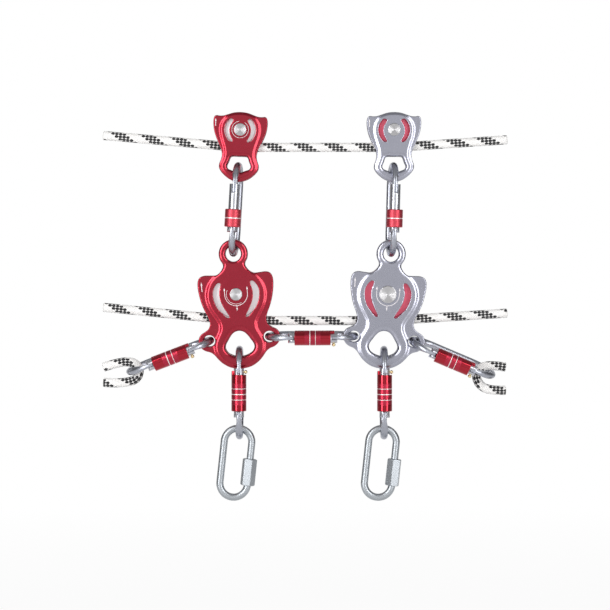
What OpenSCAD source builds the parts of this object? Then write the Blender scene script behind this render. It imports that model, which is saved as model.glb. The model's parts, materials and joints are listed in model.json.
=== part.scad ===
// Twin rope carriage: two columns, each a small pulley on an upper track rope, a locking
// carabiner and a large pulley on a lower track rope, tied together by one carabiner,
// with haul carabiners at the sides and load links below.
//
// Axes: X along the ropes, Y away from the viewer, Z up. The origin is on the centre
// line of the upper rope, midway between the two small pulleys.

/* [Rope] */
// Diameter of all ropes
rope_d = 11; // [9:0.5:13]

/* [Small pulleys] */
// Distance of each small pulley from the middle
small_x = 90.5; // [80:0.5:110]
// Radius of the small sheave at the root of its groove
small_root_r = 14.7; // [12:0.1:16]
// Outer radius of the small sheave's flanges
small_flange_r = 20.8; // [20:0.1:21.5]
// Thickness of a small cheek's plate
small_plate_t = 3.6; // [3:0.1:4]
// Height of the raised face above a small cheek's plate
small_ridge_t = 1.6; // [0.8:0.1:2]
// Radius of the small axle's domed heads
small_cap_r = 7.5; // [6.5:0.1:9]
// Lean of the red small pulley
red_small_lean = -2.3; // [-4:0.1:0]

/* [Large pulleys] */
// Radius of the large sheave at the root of its groove
large_root_r = 25.4; // [23:0.1:26.5]
// Outer radius of the large sheave's flanges
large_flange_r = 31.2; // [30:0.1:31.6]
// Thickness of a large cheek's plate
large_plate_t = 4; // [3:0.1:4.4]
// Height of the raised face above a large cheek's plate
large_ridge_t = 2; // [1:0.1:2.4]
// Radius of the red axle's heads
red_cap_r = 7.4; // [6.5:0.1:11]
// Radius of the grey axle's heads
grey_cap_r = 10.3; // [7:0.1:11]
// Height of the top ring's centre above the axle
ring_z = 47.6; // [46:0.1:50]
// Radius of the hole in the top ring
ring_hole_r = 9.2; // [8.6:0.1:10]
// Outer radius of the top ring
ring_r = 17; // [16:0.1:18]
// Radius of the holes in the side lugs
lug_hole_r = 6.85; // [6.6:0.05:7.2]
// Lean of the red large pulley
red_lean = 4.2; // [2:0.1:5]
// Lean of the grey large pulley
grey_lean = -4.9; // [-6:0.1:-2]

/* [Sheaves and axles] */
// Width of every sheave
sheave_w = 15; // [14:0.1:16]
// Radius of every axle
axle_r = 5; // [4:0.1:5.5]
// Outer radius of every bearing sleeve
bush_r = 7.6; // [6.6:0.1:8.4]
// Height of the axle heads
cap_h = 2.6; // [1.5:0.1:4]

/* [Carabiners] */
// Diameter of the bar that every carabiner is bent from
bar_d = 8.4; // [7.6:0.1:8.8]
// Overall width of every carabiner, bar to bar
oval_w = 60; // [57:0.5:64]
// Overall length of a screw-lock carabiner
screw_l = 112; // [108:0.5:116]
// Overall length of a twist-lock carabiner
twist_l = 110.5; // [108:0.5:114]
// Radius of every gate
gate_r = 6; // [5.6:0.1:6.4]
// Thickness of the flat nose and of the flat hinge tongue
blade_t = 4; // [3:0.1:4.4]
// Radius of the hinge pins
hinge_pin_r = 1.5; // [1.2:0.1:1.8]
// Radius of the latch pins
latch_pin_r = 1.3; // [1:0.1:1.5]

/* [Locking sleeves] */
// Outer radius of a screw-lock sleeve
screw_sleeve_r = 9.5; // [8.5:0.1:10]
// Length of a screw-lock sleeve
screw_sleeve_l = 21; // [18:0.5:22]
// Outer radius of a twist-lock sleeve
twist_sleeve_r = 8.8; // [8:0.1:9.2]
// Length of the twist-lock sleeves on the load carabiners
load_sleeve_l = 42.6; // [40:0.1:44]
// Length of the other twist-lock sleeves
haul_sleeve_l = 42.2; // [39:0.1:43]
// Height of the thumb tab at the top of a twist-lock sleeve
tab_h = 4.5; // [3:0.1:6]

/* [Load links] */
// Diameter of the bar of a load link
link_d = 8.5; // [8:0.1:9]
// Overall length of a load link
link_l = 90; // [86:0.5:100]
// Overall width of a load link
link_w = 41; // [39:0.5:44]
// Width of the link nut across its corners
nut_d = 17.5; // [15:0.1:18.5]
// Length of the link nut
nut_l = 31.6; // [28:0.1:33]
// Opening between the link's two ends
link_mouth = 12; // [8:0.5:13]
// Lean of the load links
link_lean = 6; // [0:0.5:8]

/* [Clearances] */
// Gap between hooked pieces at rest
seat_gap = 0.3; // [0.2:0.05:0.5]
// Radial gap of a running fit
fit = 0.05; // [0.02:0.01:0.08]
// Gap between sheave flanks and cheeks
side_gap = 0.5; // [0.3:0.05:0.8]

/* [Hidden] */

$fn = 96;
RED = "#a31828";
GREY = "#9ea3ad";
STEEL = "#c3c7cc";
SLEEVE = "#b51f2e";
BRASS = "#c9a35c";
ROPE = "#e8e8e6";

// ---- sizes that follow from the ones above ----
rope_r = rope_d / 2;
bar_r = bar_d / 2;
bow_r = oval_w / 2 - bar_r;            // centre line of a carabiner's bow
bow_inner_r = bow_r - bar_r;
cheek_y = sheave_w / 2 + side_gap;     // inner face of every cheek
small_y = cheek_y + small_plate_t;     // outer face of a small cheek's plate
large_y = cheek_y + large_plate_t;     // outer face of a large cheek's plate
bore_r = axle_r + fit;

// How far a bow's inner side falls away from its apex at a distance y to the side.
function bow_sag(y) = bow_inner_r - sqrt(bow_inner_r * bow_inner_r - y * y);

// A point turned anticlockwise in the X-Z plane, as the viewer sees it.
function turned(a, p) = [p[0] * cos(a) - p[1] * sin(a), p[0] * sin(a) + p[1] * cos(a)];
function lift(p) = [p[0], 0, p[1]];
function unit(v) = v / norm(v);

// A closed outline from its right half, listed from top to bottom.
function both_sides(half) = concat(
    half,
    [for (i = [len(half) - 1 : -1 : 0]) if (half[i][0] > 0.01) [-half[i][0], half[i][1]]]
);
function bend(p, q, r, s, t) = 0.5 * (
    2 * q + (r - p) * t + (2 * p - 5 * q + 4 * r - s) * t * t + (3 * q - p - 3 * r + s) * t * t * t
);
// The same outline as a smooth closed curve through its points.
function smooth(pts, steps) = let (n = len(pts)) [
    for (i = [0 : n - 1]) for (k = [0 : steps - 1])
        bend(pts[(i + n - 1) % n], pts[i], pts[(i + 1) % n], pts[(i + 2) % n], k / steps)
];
// A clockwise outline drawn in by a distance.
function inset(pts, d) = let (n = len(pts)) [
    for (i = [0 : n - 1])
        let (t = unit(pts[(i + 1) % n] - pts[(i + n - 1) % n])) pts[i] + d * [t[1], -t[0]]
];

// ---- cheek outlines, seen from the front with the axle at 0, 0 ----
lug_x = 35.4;
lug_z = -52.6;
eye_low = -73.4;                       // lowest point of the load eye
eye_arc_r = 23;                        // radius of the eye's lower edge
window_low = -50.5;                    // lowest point of the small cheek's window
window_arc_r = 15;                     // radius of the window's lower edge

large_half = [
    [11.4, 42], [12.4, 35.5], [14.4, 30.4], [17.8, 26.4], [22.5, 23.8], [29, 23.9],
    [36.4, 24.3], [41.2, 22.6], [43.9, 18.4], [44.6, 12], [43.8, 3], [41.6, -7.5],
    [38.4, -17], [34.8, -25], [33.2, -32], [35.2, -38.2], [39.8, -41.8],
    [44.6, -44.6], [47.5, -49], [48, -54.6], [45.4, -60.4], [40.6, -64.2],
    [35, -66.2], [30.6, -69.6], [26.4, -75], [20.8, -80.6], [11.8, -85.8], [0, -87.6]
];
large_ridge_half = [
    [10.6, 42], [11.8, 35], [14.4, 29.6], [19.4, 25], [25.6, 20.6], [30.8, 14],
    [34, 6], [34.8, -2], [33, -11], [28.8, -20], [24, -28], [21.2, -34.4],
    [21.6, -41], [24.6, -47.6], [28, -54.4], [29, -61.6], [27.2, -69.4],
    [21.6, -77.6], [12, -84.4], [0, -86.4]
];
small_half = [
    [0, 20.7], [8, 19.9], [14.8, 17.7], [20, 16], [24.6, 15.6], [28.6, 16],
    [31, 14.2], [31.9, 9.6], [31.6, 3.6], [30.4, -3], [27.8, -10.4], [24.4, -17.6],
    [21.4, -24.4], [20.3, -30.4], [21.3, -36], [23.2, -41.4], [22.6, -47],
    [18, -53], [10.4, -58.6], [0, -61.4]
];
small_ridge_half = [
    [0, 18.9], [9, 17.9], [16.6, 14.6], [21.6, 8.4], [23.4, 0.6], [22.4, -7.6],
    [19.9, -15.6], [17.7, -23.4], [17.1, -30.4], [18.6, -36.6], [20.9, -42.2],
    [20.2, -46.6], [15.8, -52.4], [9, -57], [0, -59.4]
];
eye_half = [
    [0, -43.2], [5.4, -44.6], [9.6, -48.4], [13.2, -53.6], [16.4, -58.8], [17, -63.4],
    [14.2, -68.4],
    for (a = [25, 12]) [eye_arc_r * sin(a), eye_low + eye_arc_r * (1 - cos(a))],
    [0, eye_low]
];
window_half = [
    [0, -31.5], [7.6, -31.6], [10.2, -33], [12, -38], [13.9, -43], [12.4, -46.4],
    for (a = [31, 15]) [window_arc_r * sin(a), window_low + window_arc_r * (1 - cos(a))],
    [0, window_low]
];

large_slot = [
    [17.4, 12.5], [19.7, 3], [18.9, -6.4], [15.4, -15.2], [9.9, -25], [10.3, -27.2],
    [13.3, -26.5], [18, -21.3], [23, -15.2], [26.2, -7.3], [27.4, 0.5], [26.2, 7.5],
    [22, 13.6], [19, 14.6]
];
small_slot = [
    [8.4, 10.2], [11.6, 4.6], [12.7, -1], [11.6, -7], [8.6, -12.6], [9.6, -14.6],
    [13.4, -13], [17, -7.6], [18.7, -0.6], [17, 6.8], [12.8, 12.4], [9.4, 12.2]
];

// Distance from a wheel's axle to the middle of the rope in its groove.
small_hug = small_root_r + rope_r + seat_gap;
large_hug = large_root_r + rope_r + seat_gap;

// ---- where the pieces hang, as points of the X-Z plane ----
small_z = small_hug;
// How far a hooked bow's apex stays from the edge it pulls on, because the edge is wide.
small_seat = bow_sag(small_y) + seat_gap;
large_seat = bow_sag(large_y) + seat_gap;
turn_room = 0.45;                      // more room where a rolled bow crosses an edge
screw_span = screw_l - bar_d;
twist_span = twist_l - bar_d;

// Sideways place of each upper carabiner in its window.
red_window_x = -0.8;
grey_window_x = -0.5;
function window_rest(x) = [
    x,
    window_low + window_arc_r - sqrt(window_arc_r * window_arc_r - x * x)
        + small_seat + turn_room + bar_r
];
red_top = [-small_x, small_z] + turned(red_small_lean, window_rest(red_window_x));
grey_top = [small_x, small_z] + window_rest(grey_window_x);

// The lug holes that the middle carabiner joins are this far apart.
lug_seat = lug_hole_r - bar_r - large_seat;
lugs_apart = twist_span + 2 * lug_seat;
pair_mid_x = -6.1;
red_inner_lug = turned(red_lean, [lug_x, lug_z]);
grey_inner_lug = turned(grey_lean, [-lug_x, lug_z]);
large_apart = lugs_apart + red_inner_lug[0] - grey_inner_lug[0];
red_x = pair_mid_x - large_apart / 2;
grey_x = pair_mid_x + large_apart / 2;

// The top ring hangs on the lower bow, which is turned a little in it.
ring_seat = ring_hole_r - bar_r - large_seat - turn_room;
red_ring_x = red_x + turned(red_lean, [0, ring_z])[0];
grey_ring_x = grey_x + turned(grey_lean, [0, ring_z])[0];
red_upper_a = asin((red_ring_x - red_top[0]) / screw_span);
grey_upper_a = asin((grey_ring_x - grey_top[0]) / screw_span);
red_ring_z = red_top[1] - screw_span * cos(red_upper_a) - ring_seat;
grey_ring_z = grey_top[1] - screw_span * cos(grey_upper_a) - ring_seat;
red_z = red_ring_z - turned(red_lean, [0, ring_z])[1];
grey_z = grey_ring_z - turned(grey_lean, [0, ring_z])[1];
red_at = [red_x, red_z];
grey_at = [grey_x, grey_z];

// Middle carabiner, from the red lug to the grey lug.
lug_a = red_at + red_inner_lug;
lug_b = grey_at + grey_inner_lug;
middle_dir = unit(lug_b - lug_a);
middle_at = (lug_a + lug_b) / 2;
middle_turn = atan2(middle_dir[0], middle_dir[1]);

// Haul carabiners: direction from the lug, and the lug itself.
left_haul_a = 201;
right_haul_a = -23;
left_lug = red_at + turned(red_lean, [-lug_x, lug_z]);
right_lug = grey_at + turned(grey_lean, [lug_x, lug_z]);
left_reach = twist_span / 2 + lug_seat;
right_reach = left_reach - turn_room;
left_haul_at = left_lug + left_reach * [cos(left_haul_a), sin(left_haul_a)];
right_haul_at = right_lug + right_reach * [cos(right_haul_a), sin(right_haul_a)];

// Load carabiners hang straight down from the load eyes.
red_eye_arc = red_at + turned(red_lean, [0, eye_low + eye_arc_r]);
grey_eye_arc = grey_at + turned(grey_lean, [0, eye_low + eye_arc_r]);
red_eye = red_eye_arc - [0, eye_arc_r];
grey_eye = grey_eye_arc - [0, eye_arc_r];
load_drop = twist_span / 2 - large_seat - bar_r;
red_load_at = red_eye - [0, load_drop];
grey_load_at = grey_eye - [0, load_drop];

// Load links hang in the load carabiners.
link_r = link_d / 2;
link_bow_r = link_w / 2 - link_r;
link_c = link_l / 2 - link_r - link_bow_r;
link_drop = twist_span / 2 - bar_r - seat_gap - link_r;
red_link_top = red_load_at - [0, link_drop];
grey_link_top = grey_load_at - [0, link_drop];

// ---- gates and sleeves, measured along the carabiner from its middle ----
bow_c_screw = screw_span / 2 - bow_r;
bow_c_twist = twist_span / 2 - bow_r;
screw_hinge_u = -bow_c_screw + 4.5;
screw_sleeve_low = screw_hinge_u + 0.5;
screw_nose_u = bow_c_screw - 6.6;
screw_latch_u = bow_c_screw - 1;
screw_gate_top = screw_latch_u + 4.5;
twist_hinge_u = -bow_c_twist + 3.05;
twist_sleeve_low = twist_hinge_u + 2;
nose_room = 1.05;                      // between a twist sleeve's top and the nose above it
latch_room = 3.2;                      // between the longer sleeve's top and the latch pin
twist_latch_u = twist_sleeve_low + max(load_sleeve_l, haul_sleeve_l) + latch_room;
twist_gate_top = twist_latch_u + 4.2;
knuckle_r = gate_r - 0.5;              // rounded lower end of a gate, about its hinge
tongue_r = bar_r - 0.2;
swing_room = 0.8;                      // between a gate's ends and the bar beyond them
slot_gap = 0.2;
pin_fit = 0.02;                        // round a pin that is pressed into its gate
latch_gap = 0.3;                       // round the latch pin in its notch
latch_head_r = 2.2;
latch_head_w = 10;
tab_angle = 60;
cut_w = gate_r + bar_r;                // deeper than any cut that goes through a bar or gate
upper_roll = 5;
middle_roll = 2.5;
left_haul_roll = 3;
right_haul_roll = 8;

// ---- rope routes, as points in the X-Z plane ----
upper_route = [
    [-252, 14], [-212, 10.5], [-172, 7], [-131, 3.5], [-small_x - 0.5, 0], [-60, 0], [-30, 0],
    [0, 0], [30, 0], [60, 0], [small_x + 0.5, 0], [135, 3], [180, 6], [224, 9]
];
// The lower rope runs under both large wheels and rises a little outside them.
low_a = [red_x - 1.4, red_z - large_hug];
low_b = [grey_x + 0.6, grey_z - large_hug];
lower_route = [
    for (k = [[-252, 15.6], [-212, 11.6], [-172, 7.6], [-132, 3.6]]) [k[0], low_a[1] + k[1]],
    for (i = [0 : 6]) low_a + (low_b - low_a) * i / 6,
    for (k = [[130, 2.9], [177, 5.9], [224, 8.9]]) [k[0], low_b[1] + k[1]]
];
// Each haul rope is a bight round its carabiner's outer bow, set by the two thicknesses.
bight_scale = (bar_r + rope_r + seat_gap) / 10;
left_rod = left_haul_at + twist_span / 2 * [cos(left_haul_a), sin(left_haul_a)];
right_rod = right_haul_at + twist_span / 2 * [cos(right_haul_a), sin(right_haul_a)];
left_haul_route = [
    for (p = [
        [-31.1, 4.9], [-22.1, 7.8], [-13.1, 10], [-4.6, 11.2], [3.3, 10.2], [8.9, 6.2],
        [10.9, 0], [9.1, -6.2], [3.9, -10.6], [-5.1, -12.8], [-18.1, -13.6], [-31.1, -13]
    ]) left_rod + bight_scale * p
];
right_haul_route = [
    for (p = [
        [16.1, 8.8], [6.1, 9.9], [-3.9, 10.2], [-11.9, 8.2], [-16.9, 3.2], [-17.9, -3.8],
        [-14.9, -10.8], [-8.9, -15.8], [-0.9, -18], [8.1, -18.7], [16.1, -18.7]
    ]) right_rod + bight_scale * p
];

// ---- pulleys ----

// Curved slots on both sides that show the wheel, from the right-hand one's outline.
module sheave_slots(half) {
    for (side = [0, 1]) mirror([side, 0]) polygon(smooth(half, 2));
}

// A plate in the X-Z plane: its outline comes as children, y is its front face.
module upright(y, t) {
    translate([0, y + t, 0]) rotate([90, 0, 0]) linear_extrude(t) children();
}

// Layers of a cheek, from the plate to the drawn-in top of its raised face.
module large_cheek(colour) {
    base = smooth(both_sides(large_half), 2);
    ridge = smooth(both_sides(large_ridge_half), 2);
    eye = smooth(both_sides(eye_half), 2);
    color(colour) difference() {
        union() {
            upright(cheek_y, large_plate_t) polygon(base);
            upright(cheek_y, large_plate_t + large_ridge_t / 2) polygon(ridge);
            upright(cheek_y, large_plate_t + large_ridge_t) polygon(inset(ridge, 1.4));
            translate([0, cheek_y, ring_z]) rotate([-90, 0, 0])
                cylinder(h = large_plate_t + large_ridge_t / 2, r = ring_r);
        }
        upright(cheek_y - 1, large_plate_t + 1) polygon(eye);
        upright(large_y, large_ridge_t / 2 + 0.1) polygon(inset(eye, -1.4));
        upright(large_y + large_ridge_t / 2, large_ridge_t) polygon(inset(eye, -2.8));
        upright(cheek_y - 1, large_plate_t + large_ridge_t + 2) sheave_slots(large_slot);
        translate([0, cheek_y - 1, ring_z]) rotate([-90, 0, 0])
            cylinder(h = large_plate_t + large_ridge_t + 2, r = ring_hole_r);
        translate([0, large_y, ring_z]) rotate([-90, 0, 0])
            cylinder(h = large_ridge_t + 2, r = ring_hole_r + 2);
        for (side = [-1, 1])
            translate([side * lug_x, cheek_y - 1, lug_z]) rotate([-90, 0, 0])
                cylinder(h = large_plate_t + large_ridge_t + 2, r = lug_hole_r);
        translate([0, cheek_y - 1, 0]) rotate([-90, 0, 0])
            cylinder(h = large_plate_t + large_ridge_t + 2, r = bore_r);
    }
}

module small_cheek(colour) {
    base = smooth(both_sides(small_half), 2);
    ridge = smooth(both_sides(small_ridge_half), 2);
    window = smooth(both_sides(window_half), 2);
    color(colour) difference() {
        union() {
            upright(cheek_y, small_plate_t) polygon(base);
            upright(cheek_y, small_plate_t + small_ridge_t / 2) polygon(ridge);
            upright(cheek_y, small_plate_t + small_ridge_t) polygon(inset(ridge, 1.2));
        }
        upright(cheek_y - 1, small_plate_t + 1) polygon(window);
        upright(small_y, small_ridge_t / 2 + 0.1) polygon(inset(window, -1.2));
        upright(small_y + small_ridge_t / 2, small_ridge_t) polygon(inset(window, -2.4));
        upright(cheek_y - 1, small_plate_t + small_ridge_t + 2) sheave_slots(small_slot);
        translate([0, cheek_y - 1, 0]) rotate([-90, 0, 0])
            cylinder(h = small_plate_t + small_ridge_t + 2, r = bore_r);
    }
}

// A grooved wheel that turns on its bearing sleeve.
module sheave(root_r, flange_r, colour) {
    groove = rope_r + 0.4;
    half = sheave_w / 2;
    color(colour) rotate([90, 0, 0]) difference() {
        cylinder(h = sheave_w, r = flange_r, center = true);
        rotate_extrude() translate([root_r + groove, 0]) union() {
            circle(r = groove, $fn = 48);
            polygon([
                [0, -groove], [flange_r - root_r - groove + 1, -half + 0.8],
                [flange_r - root_r - groove + 1, half - 0.8], [0, groove]
            ]);
        }
        cylinder(h = sheave_w + 2, r = bush_r + fit, center = true);
    }
}

// The bearing sleeve inside a sheave, a little longer than the sheave is wide.
module bush() {
    color(BRASS) rotate([90, 0, 0]) difference() {
        cylinder(h = 2 * cheek_y - 0.2, r = bush_r, center = true);
        cylinder(h = 2 * cheek_y + 2, r = axle_r + fit, center = true);
    }
}

// A riveted axle: a plain shaft with a domed head on each side.
module axle(outer_y, cap_r) {
    head_y = outer_y + 0.05;
    color(STEEL) {
        rotate([90, 0, 0]) cylinder(h = 2 * head_y + 1, r = axle_r, center = true);
        for (side = [-90, 90]) rotate([side, 0, 0]) translate([0, 0, head_y]) {
            cylinder(h = cap_h * 0.6, r = cap_r);
            translate([0, 0, cap_h * 0.6 - 0.01])
                cylinder(h = cap_h * 0.4, r1 = cap_r, r2 = cap_r - 1.2, $fn = 97);
        }
    }
}

module small_place(side, lean) {
    translate([side * small_x, 0, small_z]) rotate([0, -lean, 0]) children();
}

module large_place(at, lean) {
    translate(lift(at)) rotate([0, -lean, 0]) children();
}

module back() {
    children();
}

module front() {
    mirror([0, 1, 0]) children();
}

// ---- carabiners, upright, with the gate towards the viewer and the nose on top ----

module bow(c) {
    translate([0, 0, c]) rotate([90, 0, 90])
        rotate_extrude(angle = 180) translate([bow_r, 0]) circle(r = bar_r, $fn = 48);
}

// The bar of a carabiner before its gate side is cut and flattened.
module bar_loop(c, hinge_u, nose_u) {
    bow(c);
    mirror([0, 0, 1]) bow(c);
    translate([0, bow_r, 0]) cylinder(h = 2 * c + 0.02, r = bar_r, center = true);
    translate([0, -bow_r, nose_u]) cylinder(h = c - nose_u + 0.01, r = bar_r);
    translate([0, -bow_r, -c - 0.01]) cylinder(h = c + hinge_u + 0.01, r = bar_r);
    translate([0, -bow_r, hinge_u]) rotate([0, 90, 0])
        cylinder(h = bar_d, r = tongue_r, center = true);
}

module carabiner_frame(c, hinge_u, gate_top, nose_u, latch_u) {
    low = hinge_u - knuckle_r - 0.5;
    high = gate_top + swing_room;
    half = blade_t / 2;
    notch_r = latch_pin_r + latch_gap;
    color(STEEL) difference() {
        bar_loop(c, hinge_u, nose_u);
        translate([-cut_w, -bow_r - cut_w, hinge_u + cut_w])
            cube([2 * cut_w, 2 * cut_w, nose_u - hinge_u - cut_w]);
        for (side = [0, 1]) mirror([side, 0, 0])
            translate([half, -bow_r - cut_w, low]) cube([cut_w, 2 * cut_w, high - low]);
        translate([0, -bow_r, hinge_u]) rotate([0, 90, 0])
            cylinder(h = 2 * cut_w, r = hinge_pin_r + fit, center = true, $fn = 48);
        translate([-cut_w, -bow_r - notch_r, latch_u - notch_r])
            cube([2 * cut_w, cut_w, 2 * notch_r]);
    }
}

module carabiner_gate(hinge_u, gate_top, nose_u, latch_u) {
    half = blade_t / 2 + slot_gap;
    slot_top = hinge_u + tongue_r + 0.6;
    color(STEEL) translate([0, -bow_r, 0]) difference() {
        intersection() {
            translate([0, 0, hinge_u - gate_r])
                cylinder(h = gate_top - hinge_u + gate_r, r = gate_r);
            union() {
                translate([-cut_w, -cut_w, hinge_u])
                    cube([2 * cut_w, 2 * cut_w, gate_top - hinge_u + 1]);
                translate([0, 0, hinge_u]) rotate([0, 90, 0])
                    cylinder(h = 2 * cut_w, r = knuckle_r, center = true);
            }
        }
        translate([-half, -cut_w, hinge_u - cut_w])
            cube([2 * half, 2 * cut_w, slot_top - hinge_u + cut_w]);
        translate([-half, -cut_w, nose_u - swing_room]) cube([2 * half, 2 * cut_w, gate_top]);
        translate([0, 0, hinge_u]) rotate([0, 90, 0])
            cylinder(h = 2 * cut_w, r = hinge_pin_r + pin_fit, center = true, $fn = 48);
        translate([0, 0, latch_u]) rotate([0, 90, 0])
            cylinder(h = 2 * cut_w, r = latch_pin_r + pin_fit, center = true, $fn = 48);
    }
}

// Hinge pin and latch pin. A twist-lock's latch pin has a brass head on one side.
module carabiner_pins(hinge_u, latch_u, headed) {
    reach = gate_r - 0.4;
    translate([0, -bow_r, 0]) {
        color(STEEL) translate([0, 0, hinge_u]) rotate([0, 90, 0])
            cylinder(h = 2 * reach, r = hinge_pin_r, center = true, $fn = 48);
        color(BRASS) translate([0, 0, latch_u]) rotate([0, 90, 0]) {
            cylinder(h = 2 * reach, r = latch_pin_r, center = true, $fn = 48);
            if (headed) {
                translate([0, 0, reach - 0.1])
                    cylinder(h = latch_head_w - reach - 1.2, r = latch_pin_r, $fn = 48);
                translate([0, 0, gate_r + 0.1])
                    cylinder(h = latch_head_w - gate_r - 0.1, r = latch_head_r, $fn = 48);
            }
        }
    }
}

module screw_sleeve() {
    color(SLEEVE) translate([0, -bow_r, screw_sleeve_low]) difference() {
        cylinder(h = screw_sleeve_l, r = screw_sleeve_r);
        translate([0, 0, -1]) cylinder(h = screw_sleeve_l + 2, r = gate_r + fit);
        translate([0, 0, screw_sleeve_l / 2 - 0.8]) difference() {
            cylinder(h = 1.6, r = screw_sleeve_r + 1);
            translate([0, 0, -1]) cylinder(h = 4, r = screw_sleeve_r - 0.4);
        }
    }
}

// A twist-lock sleeve with fine ring grooves and a tab on the side away from the latch.
module twist_sleeve(length, grooves) {
    top = twist_sleeve_low + length;
    color(SLEEVE) translate([0, -bow_r, 0]) difference() {
        union() {
            translate([0, 0, twist_sleeve_low]) cylinder(h = length, r = twist_sleeve_r);
            intersection() {
                translate([0, 0, top - 1]) cylinder(h = tab_h + 1, r = twist_sleeve_r);
                translate([0, 0, top - 1]) linear_extrude(tab_h + 1) polygon([
                    [0, 0], 20 * [-cos(tab_angle / 2), sin(tab_angle / 2)],
                    20 * [-cos(tab_angle / 2), -sin(tab_angle / 2)]
                ]);
            }
        }
        translate([0, 0, twist_sleeve_low - 1])
            cylinder(h = length + tab_h + 2, r = gate_r + fit);
        for (i = [0 : grooves - 1])
            translate([0, 0, twist_sleeve_low + length / 2 + (i - (grooves - 1) / 2) * 6.4])
                difference() {
                    cylinder(h = 0.9, r = twist_sleeve_r + 1, center = true);
                    cylinder(h = 2, r = twist_sleeve_r - 0.35, center = true);
                }
    }
}

// Turn is clockwise from upright, as the viewer sees it; roll is about the length.
module carabiner_place(at, turn, roll) {
    translate(lift(at)) rotate([0, turn, 0]) rotate([0, 0, roll]) children();
}

module red_upper() {
    a = red_upper_a;
    mid = red_top + screw_span / 2 * [sin(a), -cos(a)];
    carabiner_place(mid, -a, -upper_roll) children();
}

module grey_upper() {
    a = grey_upper_a;
    mid = grey_top + screw_span / 2 * [sin(a), -cos(a)];
    carabiner_place(mid, -a, upper_roll) children();
}

module middle() {
    carabiner_place(middle_at, middle_turn, middle_roll) children();
}

module left_haul() {
    carabiner_place(left_haul_at, 90 - (left_haul_a - 180), left_haul_roll) children();
}

module right_haul() {
    carabiner_place(right_haul_at, 90 - right_haul_a, right_haul_roll) children();
}

module red_load() {
    carabiner_place(red_load_at, 0, 0) children();
}

module grey_load() {
    carabiner_place(grey_load_at, 0, 0) children();
}

module screw_frame() {
    carabiner_frame(bow_c_screw, screw_hinge_u, screw_gate_top, screw_nose_u, screw_latch_u);
}

module screw_gate() {
    carabiner_gate(screw_hinge_u, screw_gate_top, screw_nose_u, screw_latch_u);
}

module screw_pins() {
    carabiner_pins(screw_hinge_u, screw_latch_u, false);
}

// The nose of a twist-lock stays clear above its sleeve, so that the gate can swing.
function twist_nose(length) = twist_sleeve_low + length + nose_room;

module twist_frame(length) {
    nose_u = twist_nose(length);
    carabiner_frame(bow_c_twist, twist_hinge_u, twist_gate_top, nose_u, twist_latch_u);
}

module twist_gate(length) {
    carabiner_gate(twist_hinge_u, twist_gate_top, twist_nose(length), twist_latch_u);
}

module twist_pins() {
    carabiner_pins(twist_hinge_u, twist_latch_u, true);
}

// ---- load links, with the centre of the top bar at 0, 0, 0 ----
nut_low = -link_c - 0.7;
nut_side = link_bow_r;
nut_lap = 5;                           // how much of the nut stays on the link's lower end
mouth_low = nut_low + nut_lap;

module link_bow() {
    translate([0, 0, link_c]) rotate([90, 0, 0])
        rotate_extrude(angle = 180) translate([link_bow_r, 0]) circle(r = link_r, $fn = 48);
}

module link_body() {
    color(STEEL) translate([0, 0, -link_c - link_bow_r]) {
        link_bow();
        mirror([0, 0, 1]) link_bow();
        translate([-link_bow_r, 0, 0])
            cylinder(h = 2 * link_c + 0.02, r = link_r, center = true);
        translate([link_bow_r, 0, -link_c - 0.01])
            cylinder(h = mouth_low + link_c, r = link_r);
        translate([link_bow_r, 0, mouth_low + link_mouth])
            cylinder(h = link_c - mouth_low - link_mouth + 0.01, r = link_r);
    }
}

module link_nut() {
    color(STEEL) translate([nut_side, 0, nut_low - link_c - link_bow_r]) difference() {
        cylinder(h = nut_l, r = nut_d / 2, $fn = 6);
        translate([0, 0, -1]) cylinder(h = nut_l + 2, r = link_r + fit);
    }
}

module link_place(top) {
    translate(lift(top)) rotate([0, link_lean, 0]) children();
}

// ---- ropes ----

// A round rope swept along a route in the X-Z plane.
module rope(route) {
    sides = 12;
    n = len(route);
    rings = [
        for (i = [0 : n - 1])
            let (t = unit(route[min(i + 1, n - 1)] - route[max(i - 1, 0)]))
                for (k = [0 : sides - 1])
                    let (a = 360 * k / sides + 15)
                        lift(route[i] + rope_r * cos(a) * [-t[1], t[0]])
                            + [0, rope_r * sin(a), 0]
    ];
    skin = [
        for (i = [0 : n - 2]) for (k = [0 : sides - 1])
            let (p = i * sides + k, q = i * sides + (k + 1) % sides)
                for (tri = [[p, p + sides, q], [q, p + sides, q + sides]]) tri
    ];
    first = [for (k = [1 : sides - 2]) [0, k, k + 1]];
    last = (n - 1) * sides;
    final = [for (k = [1 : sides - 2]) [last, last + k + 1, last + k]];
    color(ROPE) polyhedron(rings, concat(skin, first, final));
}

// ---- named pieces ----
module red_small_front_cheek() small_place(-1, red_small_lean) front() small_cheek(RED);
module red_small_back_cheek() small_place(-1, red_small_lean) back() small_cheek(RED);
module red_small_sheave() small_place(-1, 0) sheave(small_root_r, small_flange_r, STEEL);
module red_small_bush() small_place(-1, 0) bush();
module red_small_axle() small_place(-1, 0) axle(small_y + small_ridge_t, small_cap_r);
module grey_small_front_cheek() small_place(1, 0) front() small_cheek(GREY);
module grey_small_back_cheek() small_place(1, 0) back() small_cheek(GREY);
module grey_small_sheave() small_place(1, 0) sheave(small_root_r, small_flange_r, SLEEVE);
module grey_small_bush() small_place(1, 0) bush();
module grey_small_axle() small_place(1, 0) axle(small_y + small_ridge_t, small_cap_r);
module red_large_front_cheek() large_place(red_at, red_lean) front() large_cheek(RED);
module red_large_back_cheek() large_place(red_at, red_lean) back() large_cheek(RED);
module red_large_sheave() large_place(red_at, 0) sheave(large_root_r, large_flange_r, STEEL);
module red_large_bush() large_place(red_at, 0) bush();
module red_large_axle() large_place(red_at, 0) axle(large_y + large_ridge_t, red_cap_r);
module grey_large_front_cheek() large_place(grey_at, grey_lean) front() large_cheek(GREY);
module grey_large_back_cheek() large_place(grey_at, grey_lean) back() large_cheek(GREY);
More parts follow.
